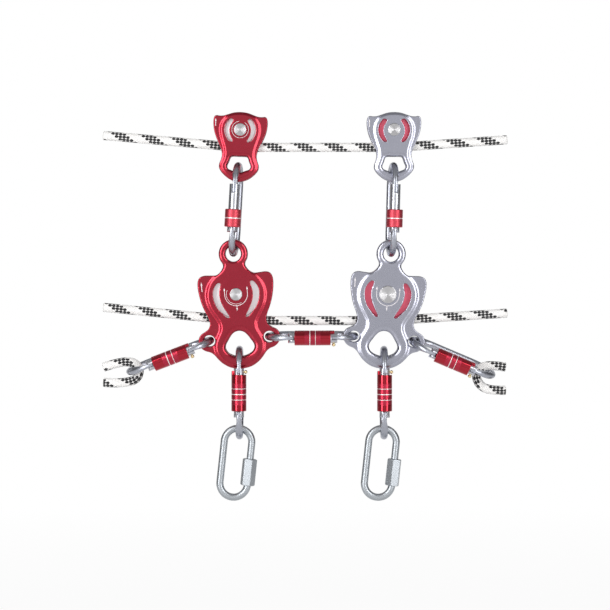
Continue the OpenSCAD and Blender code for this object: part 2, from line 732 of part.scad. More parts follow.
module grey_large_sheave() large_place(grey_at, 0) sheave(large_root_r, large_flange_r, SLEEVE);
module grey_large_bush() large_place(grey_at, 0) bush();
module grey_large_axle() large_place(grey_at, 0) axle(large_y + large_ridge_t, grey_cap_r);

red_small_front_cheek();
red_small_back_cheek();
red_small_sheave();
red_small_bush();
red_small_axle();
grey_small_front_cheek();
grey_small_back_cheek();
grey_small_sheave();
grey_small_bush();
grey_small_axle();
red_large_front_cheek();
red_large_back_cheek();
red_large_sheave();
red_large_bush();
red_large_axle();
grey_large_front_cheek();
grey_large_back_cheek();
grey_large_sheave();
grey_large_bush();
grey_large_axle();
red_upper() screw_frame();  // red_upper_frame
red_upper() screw_gate();  // red_upper_gate
red_upper() screw_sleeve();  // red_upper_sleeve
red_upper() screw_pins();  // red_upper_pins
grey_upper() screw_frame();  // grey_upper_frame
grey_upper() screw_gate();  // grey_upper_gate
grey_upper() screw_sleeve();  // grey_upper_sleeve
grey_upper() screw_pins();  // grey_upper_pins
middle() twist_frame(haul_sleeve_l);  // middle_frame
middle() twist_gate(haul_sleeve_l);  // middle_gate
middle() twist_sleeve(haul_sleeve_l, 2);  // middle_sleeve
middle() twist_pins();  // middle_pins
left_haul() twist_frame(haul_sleeve_l);  // left_haul_frame
left_haul() twist_gate(haul_sleeve_l);  // left_haul_gate
left_haul() twist_sleeve(haul_sleeve_l, 2);  // left_haul_sleeve
left_haul() twist_pins();  // left_haul_pins
right_haul() twist_frame(haul_sleeve_l);  // right_haul_frame
right_haul() twist_gate(haul_sleeve_l);  // right_haul_gate
right_haul() twist_sleeve(haul_sleeve_l, 2);  // right_haul_sleeve
right_haul() twist_pins();  // right_haul_pins
red_load() twist_frame(load_sleeve_l);  // red_load_frame
red_load() twist_gate(load_sleeve_l);  // red_load_gate
red_load() twist_sleeve(load_sleeve_l, 3);  // red_load_sleeve
red_load() twist_pins();  // red_load_pins
grey_load() twist_frame(load_sleeve_l);  // grey_load_frame
grey_load() twist_gate(load_sleeve_l);  // grey_load_gate
grey_load() twist_sleeve(load_sleeve_l, 3);  // grey_load_sleeve
grey_load() twist_pins();  // grey_load_pins
link_place(red_link_top) link_body();  // red_link_body
link_place(red_link_top) link_nut();  // red_link_nut
link_place(grey_link_top) link_body();  // grey_link_body
link_place(grey_link_top) link_nut();  // grey_link_nut
rope(upper_route);  // upper_rope
rope(lower_route);  // lower_rope
rope(left_haul_route);  // left_haul_rope
rope(right_haul_route);  // right_haul_rope
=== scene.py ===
import json
import logging
import math
from dataclasses import dataclass, field
from enum import Enum

import bmesh
import bpy
import numpy as np
from mathutils import Matrix
from mathutils.geometry import delaunay_2d_cdt


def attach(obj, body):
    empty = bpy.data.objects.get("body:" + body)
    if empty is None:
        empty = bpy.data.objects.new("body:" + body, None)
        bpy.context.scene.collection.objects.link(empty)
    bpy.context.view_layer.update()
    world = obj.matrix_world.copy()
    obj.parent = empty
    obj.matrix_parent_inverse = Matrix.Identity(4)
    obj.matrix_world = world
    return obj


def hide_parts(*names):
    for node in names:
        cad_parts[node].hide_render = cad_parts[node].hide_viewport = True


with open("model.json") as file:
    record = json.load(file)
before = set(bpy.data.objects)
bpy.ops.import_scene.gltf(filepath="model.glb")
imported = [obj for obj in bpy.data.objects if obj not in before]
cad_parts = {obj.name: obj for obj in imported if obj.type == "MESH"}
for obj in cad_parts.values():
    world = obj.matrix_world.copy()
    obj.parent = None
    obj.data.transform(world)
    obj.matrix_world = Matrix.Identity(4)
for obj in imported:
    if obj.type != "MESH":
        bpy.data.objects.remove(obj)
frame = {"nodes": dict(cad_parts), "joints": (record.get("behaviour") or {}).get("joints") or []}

LOG = logging.getLogger("trolley")
MM = 0.001
SHARP_ANGLE = math.radians(38)
# Vertices closer than this are merged, and edges shorter than this dissolved, in metres.
MERGE_M, SLIVER_M = 1e-6, 1e-7
# Points of a path closer than this are the same point, in millimetres.
SAME_POINT_MM = 1e-6


# ---------------------------------------------------------------- points and curves

def vec(*numbers: float) -> np.ndarray:
    """A vector of floats."""
    return np.array(numbers, float)


def unit(vectors: np.ndarray) -> np.ndarray:
    """Vectors along the last axis, at length one."""
    return vectors / np.linalg.norm(vectors, axis=-1, keepdims=True)


def around(count: int) -> np.ndarray:
    """Angles evenly round a circle from 0, in radians."""
    return np.linspace(0, 2 * math.pi, count, endpoint=False)


def directions(angles: np.ndarray) -> np.ndarray:
    """The cosine and sine of each angle, as pairs."""
    return np.stack((np.cos(angles), np.sin(angles)), -1)


def catmull_rom(p: np.ndarray, q: np.ndarray, r: np.ndarray, s: np.ndarray,
                steps: int) -> np.ndarray:
    """Curves from each q up to each r, headed along p to r at q and along q to s at r.

    Half of 2q + (r - p)t + (2p - 5q + 4r - s)t^2 + (3q - p - 3r + s)t^3, for t from 0 to 1.

    Args:
        p: the corner before each span, one row each.
        q: the corner where each span starts.
        r: the corner where each span ends.
        s: the corner after each span.
        steps: points made per span.

    Returns:
        The points of all spans in order, without the last corner.
    """
    p, q, r, s = (corners[:, None, :] for corners in (p, q, r, s))
    t = (np.arange(steps) / steps)[None, :, None]
    curve = 0.5 * (2 * q + (r - p) * t + (2 * p - 5 * q + 4 * r - s) * t ** 2
                   + (3 * q - p - 3 * r + s) * t ** 3)
    return curve.reshape(-1, p.shape[2])


def smooth_loop(points: np.ndarray, steps: int) -> np.ndarray:
    """A closed Catmull-Rom curve through the points, with so many steps per span."""
    return catmull_rom(*(np.roll(points, k, axis=0) for k in (1, 0, -1, -2)), steps)


def smooth_path(points: np.ndarray, spacing: float) -> np.ndarray:
    """An open Catmull-Rom curve through the points, at an even spacing.

    Args:
        points: the route's points, one row each.
        spacing: wanted distance between the curve's points.

    Returns:
        The curve's points, evenly spaced along its length.
    """
    steps = 40
    ends = (2 * points[:1] - points[1:2], points, 2 * points[-1:] - points[-2:-1])
    padded = np.concatenate(ends)
    corners = (padded[k:len(padded) - 3 + k] for k in range(4))
    return resample(np.concatenate((catmull_rom(*corners, steps), points[-1:])), spacing)


def run_along(path: np.ndarray) -> np.ndarray:
    """The length along a path from its start to each of its points."""
    return np.concatenate(([0], np.cumsum(np.linalg.norm(np.diff(path, axis=0), axis=1))))


def join(*stretches: np.ndarray) -> np.ndarray:
    """One path from stretches that meet end to end, without the doubled points."""
    path = np.concatenate(stretches)
    return path[np.append(True, np.diff(run_along(path)) > SAME_POINT_MM)]


def resample(path: np.ndarray, spacing: float) -> np.ndarray:
    """The same open path with points at an even spacing.

    Args:
        path: the path's points, one row each.
        spacing: wanted distance between points.

    Returns:
        Points evenly spaced along the path, both ends among them.
    """
    run = run_along(path)
    count = max(2, int(round(run[-1] / spacing)) + 1)
    wanted = np.linspace(0, run[-1], count)
    return np.stack([np.interp(wanted, run, path[:, k]) for k in range(path.shape[1])], 1)


def circle(centre: tuple[float, float], radius: float, count: int) -> np.ndarray:
    """Points round a circle in the X-Z plane, anticlockwise."""
    return vec(*centre) + radius * directions(around(count))


def at_depth(points: np.ndarray, y: float | np.ndarray) -> np.ndarray:
    """Points of the X-Z plane as points of space, at depth y."""
    return np.insert(points, 1, y, axis=1)


def both_sides(half: np.ndarray) -> np.ndarray:
    """A closed outline from its right half, which is listed from top to bottom."""
    left = half[::-1][half[::-1][:, 0] > 0.01] * vec(-1, 1)
    return np.concatenate((half, left))


def shift_loop(loop: np.ndarray, inward: float) -> np.ndarray:
    """A clockwise loop drawn in by a distance along its own normals."""
    along = unit(np.roll(loop, -1, axis=0) - np.roll(loop, 1, axis=0))
    return loop + inward * np.stack((along[:, 1], -along[:, 0]), 1)


def inside_distance(points: np.ndarray, loop: np.ndarray) -> np.ndarray:
    """Distance to a closed loop, positive inside it and negative outside.

    Args:
        points: places to measure, one row each.
        loop: the closed outline, one row per corner.

    Returns:
        One signed distance per point.
    """
    a, b = loop, np.roll(loop, -1, axis=0)
    ab = b - a
    ap = points[:, None, :] - a[None]
    t = np.clip((ap * ab).sum(-1) / (ab * ab).sum(-1), 0, 1)
    gap = np.linalg.norm(ap - t[..., None] * ab, axis=-1).min(1)
    x, z = points[:, None, 0], points[:, None, 1]
    rising = (a[:, 1] > z) != (b[:, 1] > z)
    slope = np.where(ab[:, 1] == 0, 1e-9, ab[:, 1])
    crossings = (rising & (x < a[:, 0] + (z - a[:, 1]) * ab[:, 0] / slope)).sum(1)
    return np.where(crossings % 2 == 1, gap, -gap)


def rounded_off(distance: np.ndarray, width: float, depth: float) -> np.ndarray:
    """How far a rounded edge lies below its face.

    It is the depth, less the depth times a quarter circle's height, which rises from 0 at
    the edge's foot to 1 at its full width.

    Args:
        distance: how far in from the edge's foot each place is.
        width: width of the rounding.
        depth: how far the foot lies below the face.

    Returns:
        One depth per place, which is 0 past the width.
    """
    return depth * (1 - np.sqrt(1 - (1 - np.clip(distance / width, 0, 1)) ** 2))


def ease(value: np.ndarray, low: float, high: float) -> np.ndarray:
    """A smooth step from 0 at low to 1 at high: 3t^2 - 2t^3."""
    t = np.clip((value - low) / (high - low), 0, 1)
    return t * t * (3 - 2 * t)


@dataclass(frozen=True)
class Place:
    """Where a sub-part sits: its origin in millimetres and its three axes as columns."""

    origin: np.ndarray
    axes: np.ndarray

    def put(self, points: np.ndarray) -> np.ndarray:
        """Local points as points of the frame, in millimetres."""
        return self.origin + points @ self.axes.T

    def moved(self, offset: np.ndarray) -> "Place":
        """The same axes with the origin moved by a local offset."""
        return Place(self.put(offset), self.axes)


# ---------------------------------------------------------------- shapes

class Shape:
    """Vertices, faces and UVs of one piece, gathered in millimetres."""

    def __init__(self) -> None:
        """Starts with no geometry."""
        self.points: list[np.ndarray] = []
        self.corners: list[np.ndarray] = []
        self.sizes: list[np.ndarray] = []
        self.uvs: list[np.ndarray] = []
        self.marks: list[np.ndarray] = []
        self.count = 0

    def add(self, points: np.ndarray, faces: np.ndarray, uv: np.ndarray | None = None,
            mark: int = 0) -> None:
        """Adds points and the faces between them.

        Args:
            points: new vertices, in millimetres.
            faces: corner numbers into those vertices, one row per face.
            uv: one pair per face corner, or None for zeros.
            mark: material slot of the faces.
        """
        self.points.append(points.reshape(-1, 3))
        self.faces(faces + self.count, uv, mark)
        self.count += len(self.points[-1])

    def faces(self, faces: np.ndarray, uv: np.ndarray | None = None, mark: int = 0) -> None:
        """Adds faces between vertices that are already there.

        Args:
            faces: corner numbers into all vertices, one row per face.
            uv: one pair per face corner, or None for zeros.
            mark: material slot of the faces.
        """
        self.corners.append(faces.ravel())
        self.sizes.append(np.full(len(faces), faces.shape[1]))
        self.uvs.append(np.zeros((faces.size, 2)) if uv is None else uv.reshape(-1, 2))
        self.marks.append(np.full(len(faces), mark))

    def grid(self, points: np.ndarray, around: bool = True, first: bool = False,
             last: bool = False, rows: np.ndarray | None = None,
             marks: np.ndarray | None = None) -> None:
        """Adds a grid of quads: rows along the piece, columns round it.

        Args:
            points: rows by columns by 3, in millimetres.
            around: whether the last column joins the first.
            first: whether a fan closes the first row.
            last: whether a fan closes the last row.
            rows: the V coordinate of each row, or None for 0 to 1.
            marks: the material slot of each row of faces, or None.
        """
        n, m = points.shape[:2]
        base = self.count
        number = np.arange(n * m).reshape(n, m) + base
        beside = np.roll(number, -1, axis=1) if around else number[:, 1:]
        here = number if around else number[:, :-1]
        quads = np.stack((here[:-1], beside[:-1], beside[1:], here[1:]), -1)
        rows = np.linspace(0, 1, n) if rows is None else rows
        cols = np.arange(here.shape[1] + 1) / here.shape[1]
        u = np.stack((cols[:-1], cols[1:], cols[1:], cols[:-1]), -1)
        v = np.stack((rows[:-1], rows[:-1], rows[1:], rows[1:]), -1)
        uv = np.stack(np.broadcast_arrays(u[None], v[:, None]), -1)
        self.points.append(points.reshape(-1, 3))
        self.count += n * m
        band = np.zeros(n - 1, int) if marks is None else marks
        for mark in np.unique(band):
            chosen = band == mark
            self.faces(quads[chosen].reshape(-1, 4), uv[chosen], int(mark))
        for wanted, row, turn in ((first, 0, -1), (last, n - 1, 1)):
            if wanted:
                ring = number[row]
                self.points.append(points[row].mean(0)[None])
                fan = np.stack((ring, np.roll(ring, -1), np.full(m, self.count)), 1)
                self.faces(fan[:, ::turn], None, int(band[min(row, n - 2)]))
                self.count += 1

    def build(self, name: str, place: Place, finishes: list,
              weld: bool = False) -> bpy.types.Object:
        """Makes the Blender object, with its place in its mesh.

        Args:
            name: the piece's name.
            place: where its local points go.
            finishes: one material per mark.
            weld: whether doubles are merged and normals worked out again.

        Returns:
            The new object, at the origin.
        """
        mesh = bpy.data.meshes.new(name)
        points = place.put(np.concatenate(self.points)) * MM
        corners = np.concatenate(self.corners).astype(np.int32)
        sizes = np.concatenate(self.sizes)
        mesh.vertices.add(len(points))
        mesh.vertices.foreach_set("co", points.ravel().astype(np.float32))
        mesh.loops.add(len(corners))
        mesh.loops.foreach_set("vertex_index", corners)
        mesh.polygons.add(len(sizes))
        starts = np.concatenate(([0], np.cumsum(sizes)[:-1])).astype(np.int32)
        mesh.polygons.foreach_set("loop_start", starts)
        mesh.polygons.foreach_set("material_index", np.concatenate(self.marks).astype(np.int32))
        mesh.update(calc_edges=True)
        layer = mesh.uv_layers.new(name="UVMap")
        layer.data.foreach_set("uv", np.concatenate(self.uvs).ravel().astype(np.float32))
        mesh.validate()
        for finish in finishes:
            mesh.materials.append(finish)
        if weld:
            weld_mesh(mesh)
        mesh.polygons.foreach_set("use_smooth", np.ones(len(mesh.polygons), bool))
        mesh.set_sharp_from_angle(angle=SHARP_ANGLE)
        piece = bpy.data.objects.new(name, mesh)
        bpy.context.scene.collection.objects.link(piece)
        return piece


def weld_mesh(mesh: bpy.types.Mesh) -> None:
    """Merges doubles and turns every face outwards.

    Args:
        mesh: the mesh to change.
    """
    work = bmesh.new()
    work.from_mesh(mesh)
    bmesh.ops.remove_doubles(work, verts=work.verts, dist=MERGE_M)
    bmesh.ops.dissolve_degenerate(work, edges=work.edges, dist=SLIVER_M)
    bmesh.ops.recalc_face_normals(work, faces=work.faces)
    work.to_mesh(mesh)
    work.free()


def lathe(profile: np.ndarray, segments: int) -> np.ndarray:
    """A profile of radius and height turned round the local Z axis.

    Args:
        profile: radius and height of each ring, listed upwards on the outside.
        segments: points round the axis.

    Returns:
        Rows by columns by 3: each ring is radius times cosine and sine, at its height.
    """
    flat = profile[:, None, :1] * directions(around(segments))[None]
    height = np.broadcast_to(profile[:, None, 1:], (*flat.shape[:2], 1))
    return np.concatenate((flat, height), -1)


def along_and_out(path: np.ndarray, side: np.ndarray) -> tuple[np.ndarray, np.ndarray]:
    """A flat path's directions, and the unit vectors square to them and to its side."""
    along = unit(np.gradient(path, axis=0))
    return along, np.cross(side, along)


def swept(path: np.ndarray, side: np.ndarray, section: np.ndarray) -> np.ndarray:
    """A cross-section carried along a flat path.

    Args:
        path: centre points, one row each.
        side: the unit vector square to the plane that the path lies in.
        section: rows by columns by 2: distances out from the path and across it.

    Returns:
        Rows by columns by 3: centre plus the section's two distances, the first within the
        path's plane and the second square to it.
    """
    along, out = along_and_out(path, side)
    across = np.cross(along, out)
    return path[:, None] + section[..., :1] * out[:, None] + section[..., 1:] * across[:, None]


def rounded_ends(length: float, radius: float, spacing: float) -> tuple[np.ndarray, np.ndarray]:
    """Heights along a turned piece and how far a rounded end draws each of them in.

    Args:
        length: the piece's length.
        radius: radius of the rounding at both ends.
        spacing: wanted distance between the heights in the middle.

    Returns:
        The heights from 0 to length, and the inset at each, a quarter circle at both ends.
    """
    edge = np.array([0, 0.07, 0.25, 0.55, 1]) * radius
    count = max(2, int((length - 2 * radius) / spacing) + 1)
    middle = np.linspace(radius, length - radius, count)
    heights = np.concatenate((edge[:-1], middle, length - edge[-2::-1]))
    return heights, rounded_off(np.minimum(heights, length - heights), radius, radius)


# ---------------------------------------------------------------- finishes

# A colour Mix has several sockets of each name, so these go by number.
SHARE, FIRST, SECOND = 0, 6, 7
# Grain of each pattern, in millimetres.
DRIFT_MM, SCUFF_MM, SOIL_MM, YARN_MM, FLECK_MM = 14.0, 2.2, 9.0, 0.35, 0.4


def linear(hex_colour: str) -> tuple[float, float, float, float]:
    """An sRGB hex colour as the linear colour that a socket takes.

    Args:
        hex_colour: the colour as #rrggbb.

    Returns:
        Linear red, green, blue and an alpha of 1.
    """
    parts = (int(hex_colour[k:k + 2], 16) / 255 for k in (1, 3, 5))
    rgb = [c / 12.92 if c <= 0.04045 else ((c + 0.055) / 1.055) ** 2.4 for c in parts]
    return (*rgb, 1.0)


def add_node(tree: bpy.types.NodeTree, kind: str, inputs: dict | tuple = (),
             **settings) -> bpy.types.Node:
    """Adds one node with its settings and links.

    Args:
        tree: the material's or the world's tree.
        kind: the node's type name, without its prefix.
        inputs: a value or another node's output for each input, by name or number, or as a
            tuple in the inputs' order.
        **settings: attributes set on the node itself.

    Returns:
        The new node.
    """
    node = tree.nodes.new("ShaderNode" + kind)
    for key, value in settings.items():
        setattr(node, key, value)
    for key, value in inputs.items() if isinstance(inputs, dict) else enumerate(inputs):
        socket = node.inputs[key]
        if isinstance(value, bpy.types.NodeSocket):
            tree.links.new(value, socket)
        else:
            socket.default_value = value
    return node


def new_tree(name: str) -> tuple[bpy.types.Material, bpy.types.NodeTree]:
    """An empty node material and its tree.

    Args:
        name: the material's name.

    Returns:
        The material and its tree, with no nodes.
    """
    material = bpy.data.materials.new(name)
    material.use_nodes = True
    material.node_tree.nodes.clear()
    return material, material.node_tree


def grain(tree: bpy.types.NodeTree, size_mm: float, stretch: tuple = (1, 1, 1),
          detail: float = 3.0) -> bpy.types.NodeSocket:
    """Noise on object coordinates with a real grain size.

    Args:
        tree: where the nodes go.
        size_mm: size of a grain in millimetres.
        stretch: scale of each axis, smaller being longer.
        detail: octaves of the noise.

    Returns:
        The noise value's socket.
    """
    place = add_node(tree, "TexCoord").outputs["Object"]
    scaled = add_node(tree, "Mapping", {"Vector": place, "Scale": stretch}).outputs[0]
    noise = add_node(tree, "TexNoise", {"Vector": scaled, "Scale": 1 / (size_mm * MM),
                                        "Detail": detail})
    return noise.outputs[0]


@dataclass(frozen=True)
class Metal:
    """A bare or anodised metal with fine grain, faint colour drift and handling marks.

    rough holds the roughness at the two ends of the grain, and wear is what a handling mark
    adds to it. coat is a clear layer over the metal.
    """

    name: str
    colour: str
    worn: str
    rough: tuple[float, float]
    grain_mm: float
    metallic: float = 1.0
    bump_mm: float = 0.002
    wear: float = 0.06
    coat: float = 0.0
    coat_rough: float = 0.12
    anisotropy: float = 0.0

    def make(self) -> bpy.types.Material:
        """The node material: grain in roughness and bump, wear and drift in colour.

        Returns:
            A new material.
        """
        material, tree = new_tree(self.name)
        fine = grain(tree, self.grain_mm)
        broad = grain(tree, DRIFT_MM, detail=4.0)
        scuffs = grain(tree, SCUFF_MM, stretch=(1, 1, 0.3), detail=6.0)
        drift = add_node(tree, "MapRange", (broad, 0.35, 0.75, 0.0, 0.3)).outputs[0]
        marks = add_node(tree, "MapRange", (scuffs, 0.6, 0.8, 0.0, 1.0)).outputs[0]
        worn = add_node(tree, "Math", (marks, 0.3, drift), operation="MULTIPLY_ADD",
                        use_clamp=True).outputs[0]
        tone = add_node(tree, "Mix", {SHARE: worn, FIRST: linear(self.colour),
                                      SECOND: linear(self.worn)}, data_type="RGBA").outputs[2]
        satin = add_node(tree, "MapRange", (fine, 0.3, 0.7, *self.rough)).outputs[0]
        rough = add_node(tree, "Math", (marks, self.wear, satin),
                         operation="MULTIPLY_ADD").outputs[0]
        bump = add_node(tree, "Bump", {"Height": fine, "Strength": 0.35,
                                       "Distance": self.bump_mm * MM}).outputs[0]
        shader = add_node(tree, "BsdfPrincipled", {
            "Base Color": tone, "Metallic": self.metallic, "Roughness": rough, "Normal": bump,
            "Coat Weight": self.coat, "Coat Roughness": self.coat_rough})
        if self.anisotropy:
            shader.inputs["Anisotropic"].default_value = self.anisotropy
            shader.inputs["Anisotropic Rotation"].default_value = 0.25
            turned = add_node(tree, "Tangent", direction_type="RADIAL", axis="Y")
            tree.links.new(turned.outputs[0], shader.inputs["Tangent"])
        add_node(tree, "OutputMaterial", {"Surface": shader.outputs[0]})
        return material


@dataclass(frozen=True)
class Braid:
    """A woven rope sheath: pale stitches with a black tracer that winds in groups of four.

    U runs round the rope and V counts stitches along it, both from the UV map.
    """

    name: str
    around: int = 10
    group: int = 8

    def make(self) -> bpy.types.Material:
        """The node material: round stitches, coloured by their place in the tracer's group.

        A stitch is dark where its number along, less its number round, leaves less than half
        a group over when it is divided by the group.

        Returns:
            A new material.
        """
        material, tree = new_tree(self.name)
        uv = add_node(tree, "UVMap", uv_map="UVMap").outputs[0]
        cells = add_node(tree, "VectorMath", (uv, (self.around, 1, 1)),
                         operation="MULTIPLY").outputs[0]
        inside = add_node(tree, "VectorMath", (cells,), operation="FRACTION").outputs[0]
        centred = add_node(tree, "VectorMath", (inside, (0.5, 0.5, 0)),
                           operation="SUBTRACT").outputs[0]
        reach = add_node(tree, "VectorMath", (centred,), operation="LENGTH").outputs["Value"]
        spot = add_node(tree, "MapRange", (reach, 0.46, 0.54, 1.0, 0.0)).outputs[0]
        number = add_node(tree, "VectorMath", (cells,), operation="FLOOR").outputs[0]
        count = add_node(tree, "SeparateXYZ", (number,)).outputs
        slant = add_node(tree, "Math", (count[1], count[0]), operation="SUBTRACT").outputs[0]
        turn = add_node(tree, "Math", (slant, float(self.group)),
                        operation="FLOORED_MODULO").outputs[0]
        dark = add_node(tree, "Math", (turn, self.group / 2 - 0.5),
                        operation="LESS_THAN").outputs[0]
        black = add_node(tree, "Math", (spot, dark), operation="MULTIPLY").outputs[0]
        yarn = grain(tree, YARN_MM, detail=2.0)
        soil = grain(tree, SOIL_MM, detail=4.0)
        tone = linear("#fbfaf9")
        for share, other in (
                (add_node(tree, "MapRange", (soil, 0.3, 0.7, 0.0, 0.5)).outputs[0], "#eceae7"),
                (add_node(tree, "MapRange", (yarn, 0.3, 0.7, 0.0, 0.35)).outputs[0], "#cfcdca"),
                (black, "#16161a")):
            tone = add_node(tree, "Mix", {SHARE: share, FIRST: tone, SECOND: linear(other)},
                            data_type="RGBA").outputs[2]
        bump = add_node(tree, "Bump", {"Height": yarn, "Strength": 0.5,
                                       "Distance": 0.12 * MM}).outputs[0]
        shader = add_node(tree, "BsdfPrincipled", {
            "Base Color": tone, "Roughness": 0.78, "Sheen Weight": 0.25, "Normal": bump})
        add_node(tree, "OutputMaterial", {"Surface": shader.outputs[0]})
        return material


@dataclass(frozen=True)
class Plain:
    """Print ink or cut fibre: a matt surface with a fine fleck."""

    name: str
    colour: str
    fleck: str
    rough: float

    def make(self) -> bpy.types.Material:
        """The node material: two tones mixed by a fine fleck.

        Returns:
            A new material.
        """
        material, tree = new_tree(self.name)
        fine = grain(tree, FLECK_MM)
        share = add_node(tree, "MapRange", (fine, 0.3, 0.7, 0.0, 1.0)).outputs[0]
        tone = add_node(tree, "Mix", {SHARE: share, FIRST: linear(self.colour),
                                      SECOND: linear(self.fleck)}, data_type="RGBA").outputs[2]
        bump = add_node(tree, "Bump", {"Height": fine, "Strength": 0.4,
                                       "Distance": 0.03 * MM}).outputs[0]
        shader = add_node(tree, "BsdfPrincipled", {"Base Color": tone, "Roughness": self.rough,
                                                   "Normal": bump})
        add_node(tree, "OutputMaterial", {"Surface": shader.outputs[0]})
        return material


class Finish(Enum):
    """Every finish of the trolley."""

    # Satin anodised aluminium: dye in a clear oxide, so that a deep colour has white gloss.
    RED_ANODISED = Metal("red_anodised", "#a5162f", "#b0263e", (0.25, 0.29), 0.6, coat=0.7,
                         coat_rough=0.14, wear=0.03, bump_mm=0.0006)
    GREY_ANODISED = Metal("grey_anodised", "#abacb9", "#b6b7c3", (0.25, 0.29), 0.6, coat=0.3,
                          coat_rough=0.2, wear=0.03, bump_mm=0.0006)
    # Turned aluminium wheels, one bare and one dyed: fine rings spread a highlight outwards.
    BARE_WHEEL = Metal("bare_wheel", "#fbf6f9", "#ffffff", (0.3, 0.36), 0.8, anisotropy=0.5,
                       bump_mm=0.001)
    RED_WHEEL = Metal("red_wheel", "#ea5f78", "#ee768b", (0.34, 0.4), 0.8, coat=0.8,
                      anisotropy=0.5, bump_mm=0.001)
    # Dyed and polished aluminium ends of a sleeve: sharp pink streaks along its length.
    SLEEVE = Metal("sleeve_red", "#ad1028", "#b82038", (0.15, 0.19), 0.6, coat=0.6,
                   coat_rough=0.1, wear=0.03, bump_mm=0.0005)
    # Ribbed grip band of a long sleeve: duller than its ends.
    SLEEVE_KNURL = Metal("sleeve_knurl", "#b62740", "#c23c52", (0.3, 0.38), 0.6, coat=0.4,
                         coat_rough=0.3, bump_mm=0.001)
    # Rolled knurl of a short sleeve: pale and matt, with no clear highlight.
    SLEEVE_DIAMOND = Metal("sleeve_diamond", "#cf4655", "#d95f6c", (0.42, 0.5), 0.7, coat=0.4,
                           coat_rough=0.35, bump_mm=0.003)
    # Aluminium cut bright through the dye: thin white rings.
    SLEEVE_RING = Metal("sleeve_ring", "#fbf0f0", "#ffffff", (0.4, 0.5), 0.6, metallic=0.7)
    # Polished steel bar: soft streaks of light and dark along each bend.
    POLISHED_STEEL = Metal("polished_steel", "#b2b5bf", "#bec1ca", (0.32, 0.36), 2.5,
                           bump_mm=0.0006, wear=0.02)
    # Ground steel gate: a little brighter and sharper than the bar.
    GATE_STEEL = Metal("gate_steel", "#c8c9d0", "#d4d5dc", (0.28, 0.32), 1.5, bump_mm=0.0005,
                       wear=0.02)
    # Axle head faced on a lathe: its rings draw a highlight into a bright fan.
    TURNED_STEEL = Metal("turned_steel", "#cfced0", "#dbdadb", (0.28, 0.32), 0.8,
                         bump_mm=0.0005, anisotropy=0.95)
    # Pale brass of the latch, and the darker bronze of a bearing sleeve.
    BRASS = Metal("latch_brass", "#e6d2a0", "#f2e6c6", (0.2, 0.28), 0.6, bump_mm=0.0005)
    BRONZE = Metal("bush_bronze", "#b98a4c", "#c99f66", (0.3, 0.42), 0.4)
    # Bright zinc on cold-formed steel: a bluish grey with a faint bloom.
    ZINC = Metal("bright_zinc", "#b4b9be", "#bec3c8", (0.36, 0.42), 1.5, bump_mm=0.0006,
                 wear=0.03)
    # Polyamide sheath, the cut core inside it, and the ink of the marks: all matt.
    ROPE = Braid("braided_rope")
    ROPE_CORE = Plain("rope_core", "#efeeea", "#cfcdc8", 0.85)
    PRINT = Plain("print_white", "#fbf7f8", "#f0e8eb", 0.5)


_made: dict[Finish, bpy.types.Material] = {}


def finish(kind: Finish) -> bpy.types.Material:
    """The material of a finish, made once.

    Args:
        kind: which finish.

    Returns:
        Its material.
    """
    if kind not in _made:
        _made[kind] = kind.value.make()
    return _made[kind]


# ---------------------------------------------------------------- what the frame gives

JOINTS = {joint["name"]: joint for joint in frame["joints"]}


def joint_at(name: str) -> np.ndarray:
    """A hinge's point in millimetres."""
    return np.array(JOINTS[name]["pos_m"]) / MM


def joint_axis(name: str) -> np.ndarray:
    """A joint's axis."""
    return unit(np.array(JOINTS[name]["axis"], float))


def settle(piece: bpy.types.Object, body: str, slot: str, *nodes: str) -> bpy.types.Object:
    """Lets a piece ride on its body and stand for its nodes.

    Args:
        piece: the new piece.
        body: the body that it moves with.
        slot: the record's material slot; not used.
        *nodes: the CAD nodes that it replaces.

    Returns:
        The same piece.
    """
    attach(piece, body)
    if nodes:
        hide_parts(*nodes)
    LOG.info("%s: %d faces on %s", piece.name, len(piece.data.polygons), body)
    return piece


def from_node(node: str, material: bpy.types.Material, body: str,
              slot: str) -> bpy.types.Object:
    """A welded, smooth copy of a CAD node that stands for it.

    Args:
        node: the CAD node's name.
        material: its finish.
        body: the body that it moves with.
        slot: the record's material slot.

    Returns:
        The new piece.
    """
    mesh = frame["nodes"][node].data.copy()
    mesh.name = node + "_smooth"
    mesh.materials.clear()
    mesh.materials.append(material)
    weld_mesh(mesh)
    mesh.polygons.foreach_set("use_smooth", np.ones(len(mesh.polygons), bool))
    mesh.polygons.foreach_set("material_index", np.zeros(len(mesh.polygons), np.int32))
    mesh.set_sharp_from_angle(angle=SHARP_ANGLE)
    piece = bpy.data.objects.new(node + "_smooth", mesh)
    bpy.context.scene.collection.objects.link(piece)
    return settle(piece, body, slot, node)


# ---------------------------------------------------------------- pulleys

# Spacing of the points on a cheek's face, in millimetres: within the even field, from the
# field to the rings that follow an edge, from any point to a loop, and between any two.
FIELD_MM, FIELD_TO_RING_MM, TO_LOOP_MM, CLOSEST_MM = 1.7, 0.8, 0.04, 0.12
# Height of an even field's row over the spacing within it, for equal triangles.
ROW_SHARE = 0.866


